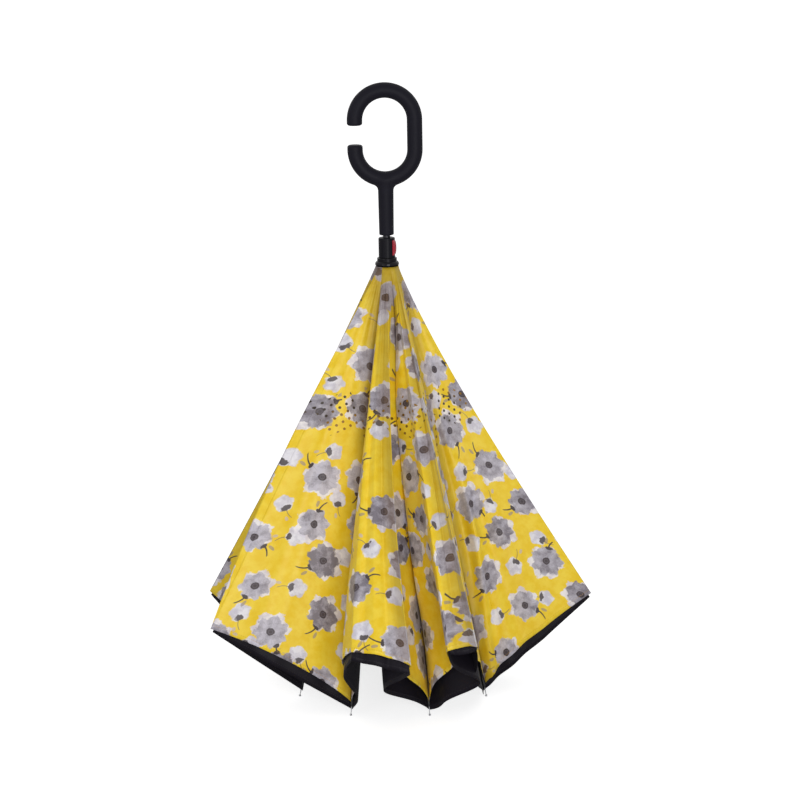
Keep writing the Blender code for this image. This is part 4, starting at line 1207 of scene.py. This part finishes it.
def ring_grid(steps, sides):
    """The ring's tube before its ends are rounded: a circle carried along the stadium's outline,
    from one side of the mouth round to the other, and closed at both ends."""
    low = np.linspace(0, math.pi, steps // 2)
    outline = [(-RING_WIDE, -MOUTH - MOUTH_ROUND * 0.5)]
    outline += [(-RING_WIDE * math.cos(t), -RING_TALL / 2 - RING_WIDE * math.sin(t)) for t in low]
    outline += [(RING_WIDE * math.cos(t), RING_TALL / 2 + RING_WIDE * math.sin(t)) for t in low]
    outline += [(-RING_WIDE, MOUTH + MOUTH_ROUND * 0.5)]
    path = np.array([(x, 0.0, RING_MIDDLE + z) for x, z in outline])
    ahead = unit(np.gradient(path, axis=0))
    deep = np.array([0.0, 1.0, 0.0])
    side = np.cross(ahead, deep)
    angle = np.arange(sides) / sides * ROUND
    ring = np.cos(angle)[None, :, None] * side[:, None] + np.sin(angle)[None, :, None] * deep
    grid = path[:, None] + RING_TUBE * ring
    return np.concatenate([path[:1, None] + 0 * grid[:1], grid, path[-1:, None] + 0 * grid[:1]])


def make_handle():
    """The rough ring and stem are joined by a voxel remesh, and every point of that is then moved to
    where handle_distance is 0, along its slope, with a smoothing step before each of the first
    moves, halfway to the mean of the point's neighbours."""
    sides = 32
    ring = ring_grid(60, sides)
    stem_height = RING_FOOT - HANDLE_LOW[2] + STEM_OVERLAP - 1.0 * MM
    stem = turned_points([(0.0, 0.0), (0.0, STEM_END), (stem_height, STEM_TOP), (stem_height, 0.0)],
                         HANDLE_LOW[2] * UP, UP, np.array([1.0, 0.0, 0.0]), sides)
    faces = [faces_of(*ring.shape[:2], closed=True),
             faces_of(*stem.shape[:2], ring.shape[0] * sides, closed=True)]
    mesh = bpy.data.meshes.new("handle_grip")
    mesh.from_pydata(np.concatenate([ring.reshape(-1, 3), stem.reshape(-1, 3)]).tolist(), [],
                     np.concatenate(faces).tolist())
    made = add_piece("handle_grip", sealed(mesh), [SOFT_TOUCH])
    remesh = made.modifiers.new("joined", "REMESH")
    remesh.mode = "VOXEL"
    remesh.voxel_size = VOXEL
    joined = made.evaluated_get(bpy.context.evaluated_depsgraph_get())
    mesh = bpy.data.meshes.new_from_object(joined)
    made.modifiers.clear()
    points = np.empty(len(mesh.vertices) * 3)
    mesh.vertices.foreach_get("co", points)
    points = points.reshape(-1, 3)
    ends = np.empty(len(mesh.edges) * 2, int)
    mesh.edges.foreach_get("vertices", ends)
    ends = ends.reshape(-1, 2)
    count = np.bincount(ends.ravel(), minlength=len(points))[:, None]
    steps = SLOPE_STEP * np.eye(3)
    for move in range(MOVES):
        for axis in (0, 1, 2) if move < SMOOTHED_MOVES else ():
            beside = (np.bincount(ends[:, 0], points[ends[:, 1], axis], len(points))
                      + np.bincount(ends[:, 1], points[ends[:, 0], axis], len(points)))
            points[:, axis] += 0.5 * (beside / count[:, 0] - points[:, axis])
        slope = np.stack([handle_distance(points + step) - handle_distance(points - step)
                          for step in steps], -1) / (2 * SLOPE_STEP)
        steep = np.maximum((slope ** 2).sum(1), 0.2)
        points = points - (handle_distance(points) / steep)[:, None] * slope
    mesh.vertices.foreach_set("co", points.ravel())
    made.data = mesh
    mesh.shade_smooth()
    if not made.data.materials:
        made.data.materials.append(SOFT_TOUCH)
    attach(made, "frame")
    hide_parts("handle")


make_handle()


# Studio: a pale floor in a white surround, a soft lamp in front, a little to the right, and a weaker
# one in front and to the left. The camera stands where the photograph was taken.
FLOOR_HALF = 14.0
WHITE = (1.0, 1.0, 1.0, 1.0)
LAMP_SIZE = 1.5
LAMPS = (("left lamp", (-2.4, -3.1, 1.2), 14.0), ("front lamp", (0.6, -3.7, 0.9), 54.0))
LAMP_AIM = Vector((0.0, 0.0, 0.42))
CAMERA_PLACE = (0.0, -3.0, PIVOT_Z + 0.535)
CAMERA_PITCH = math.radians(90.0 - 13.19)
CAMERA_ROLL = math.radians(-1.05)
PICTURE_WIDTH = 800.0
SHAFT_PIXEL = 389.6


def make_surround():
    """A surround and a floor that look white to the camera and light the object less than that."""
    world = bpy.data.worlds.new("white surround")
    world.use_nodes = True
    tree = world.node_tree
    background = tree.nodes["Background"]
    seen = node(tree, "ShaderNodeLightPath", ("Is Camera Ray", "Is Glossy Ray", "Is Transmission Ray"))
    shown = seen[0].math("MAXIMUM", seen[1] * 0.8).math("MAXIMUM", seen[2])
    feed(background.inputs["Strength"], shown * 0.57 + 0.43)
    background.inputs["Color"].default_value = WHITE
    bpy.context.scene.world = world
    mesh = bpy.data.meshes.new("floor")
    corners = [(x * FLOOR_HALF, y * FLOOR_HALF, 0) for x, y in ((-1, -1), (1, -1), (1, 1), (-1, 1))]
    mesh.from_pydata(corners, [], [(0, 1, 2, 3)])
    made, tree, shader = finish("pale floor", Roughness=0.9, Specular_IOR_Level=0.1)
    shader.inputs["Base Color"].default_value = paint(240, 240, 241)
    seen = node(tree, "ShaderNodeLightPath", "Is Camera Ray")
    shader.inputs["Emission Color"].default_value = WHITE
    feed(shader.inputs["Emission Strength"], seen * 0.75)
    floor = add_piece("floor", mesh, [made])


def make_lamps():
    """Two soft lamps that look at the object's middle."""
    for name, place, power in LAMPS:
        light = bpy.data.lights.new(name, "AREA")
        light.size = LAMP_SIZE
        light.energy = power
        lamp = bpy.data.objects.new(name, light)
        lamp.location = place
        lamp.rotation_euler = (LAMP_AIM - Vector(place)).to_track_quat("-Z", "Y").to_euler()
        bpy.context.scene.collection.objects.link(lamp)


def make_camera():
    """The camera in front of the shaft, shifted so that the shaft stands at its place in the
    picture."""
    scene = bpy.context.scene
    lens = bpy.data.cameras.new("camera")
    lens.sensor_width = 36.0
    lens.lens = 109.44
    lens.shift_x = (PICTURE_WIDTH / 2 - SHAFT_PIXEL) / PICTURE_WIDTH
    lens.clip_end = 60.0
    camera = bpy.data.objects.new("camera", lens)
    camera.matrix_world = (Matrix.Translation(CAMERA_PLACE) @ Matrix.Rotation(CAMERA_PITCH, 4, "X")
                           @ Matrix.Rotation(CAMERA_ROLL, 4, "Z"))
    scene.collection.objects.link(camera)
    scene.camera = camera
    scene.view_settings.view_transform = "Standard"


make_surround()
make_lamps()
make_camera()
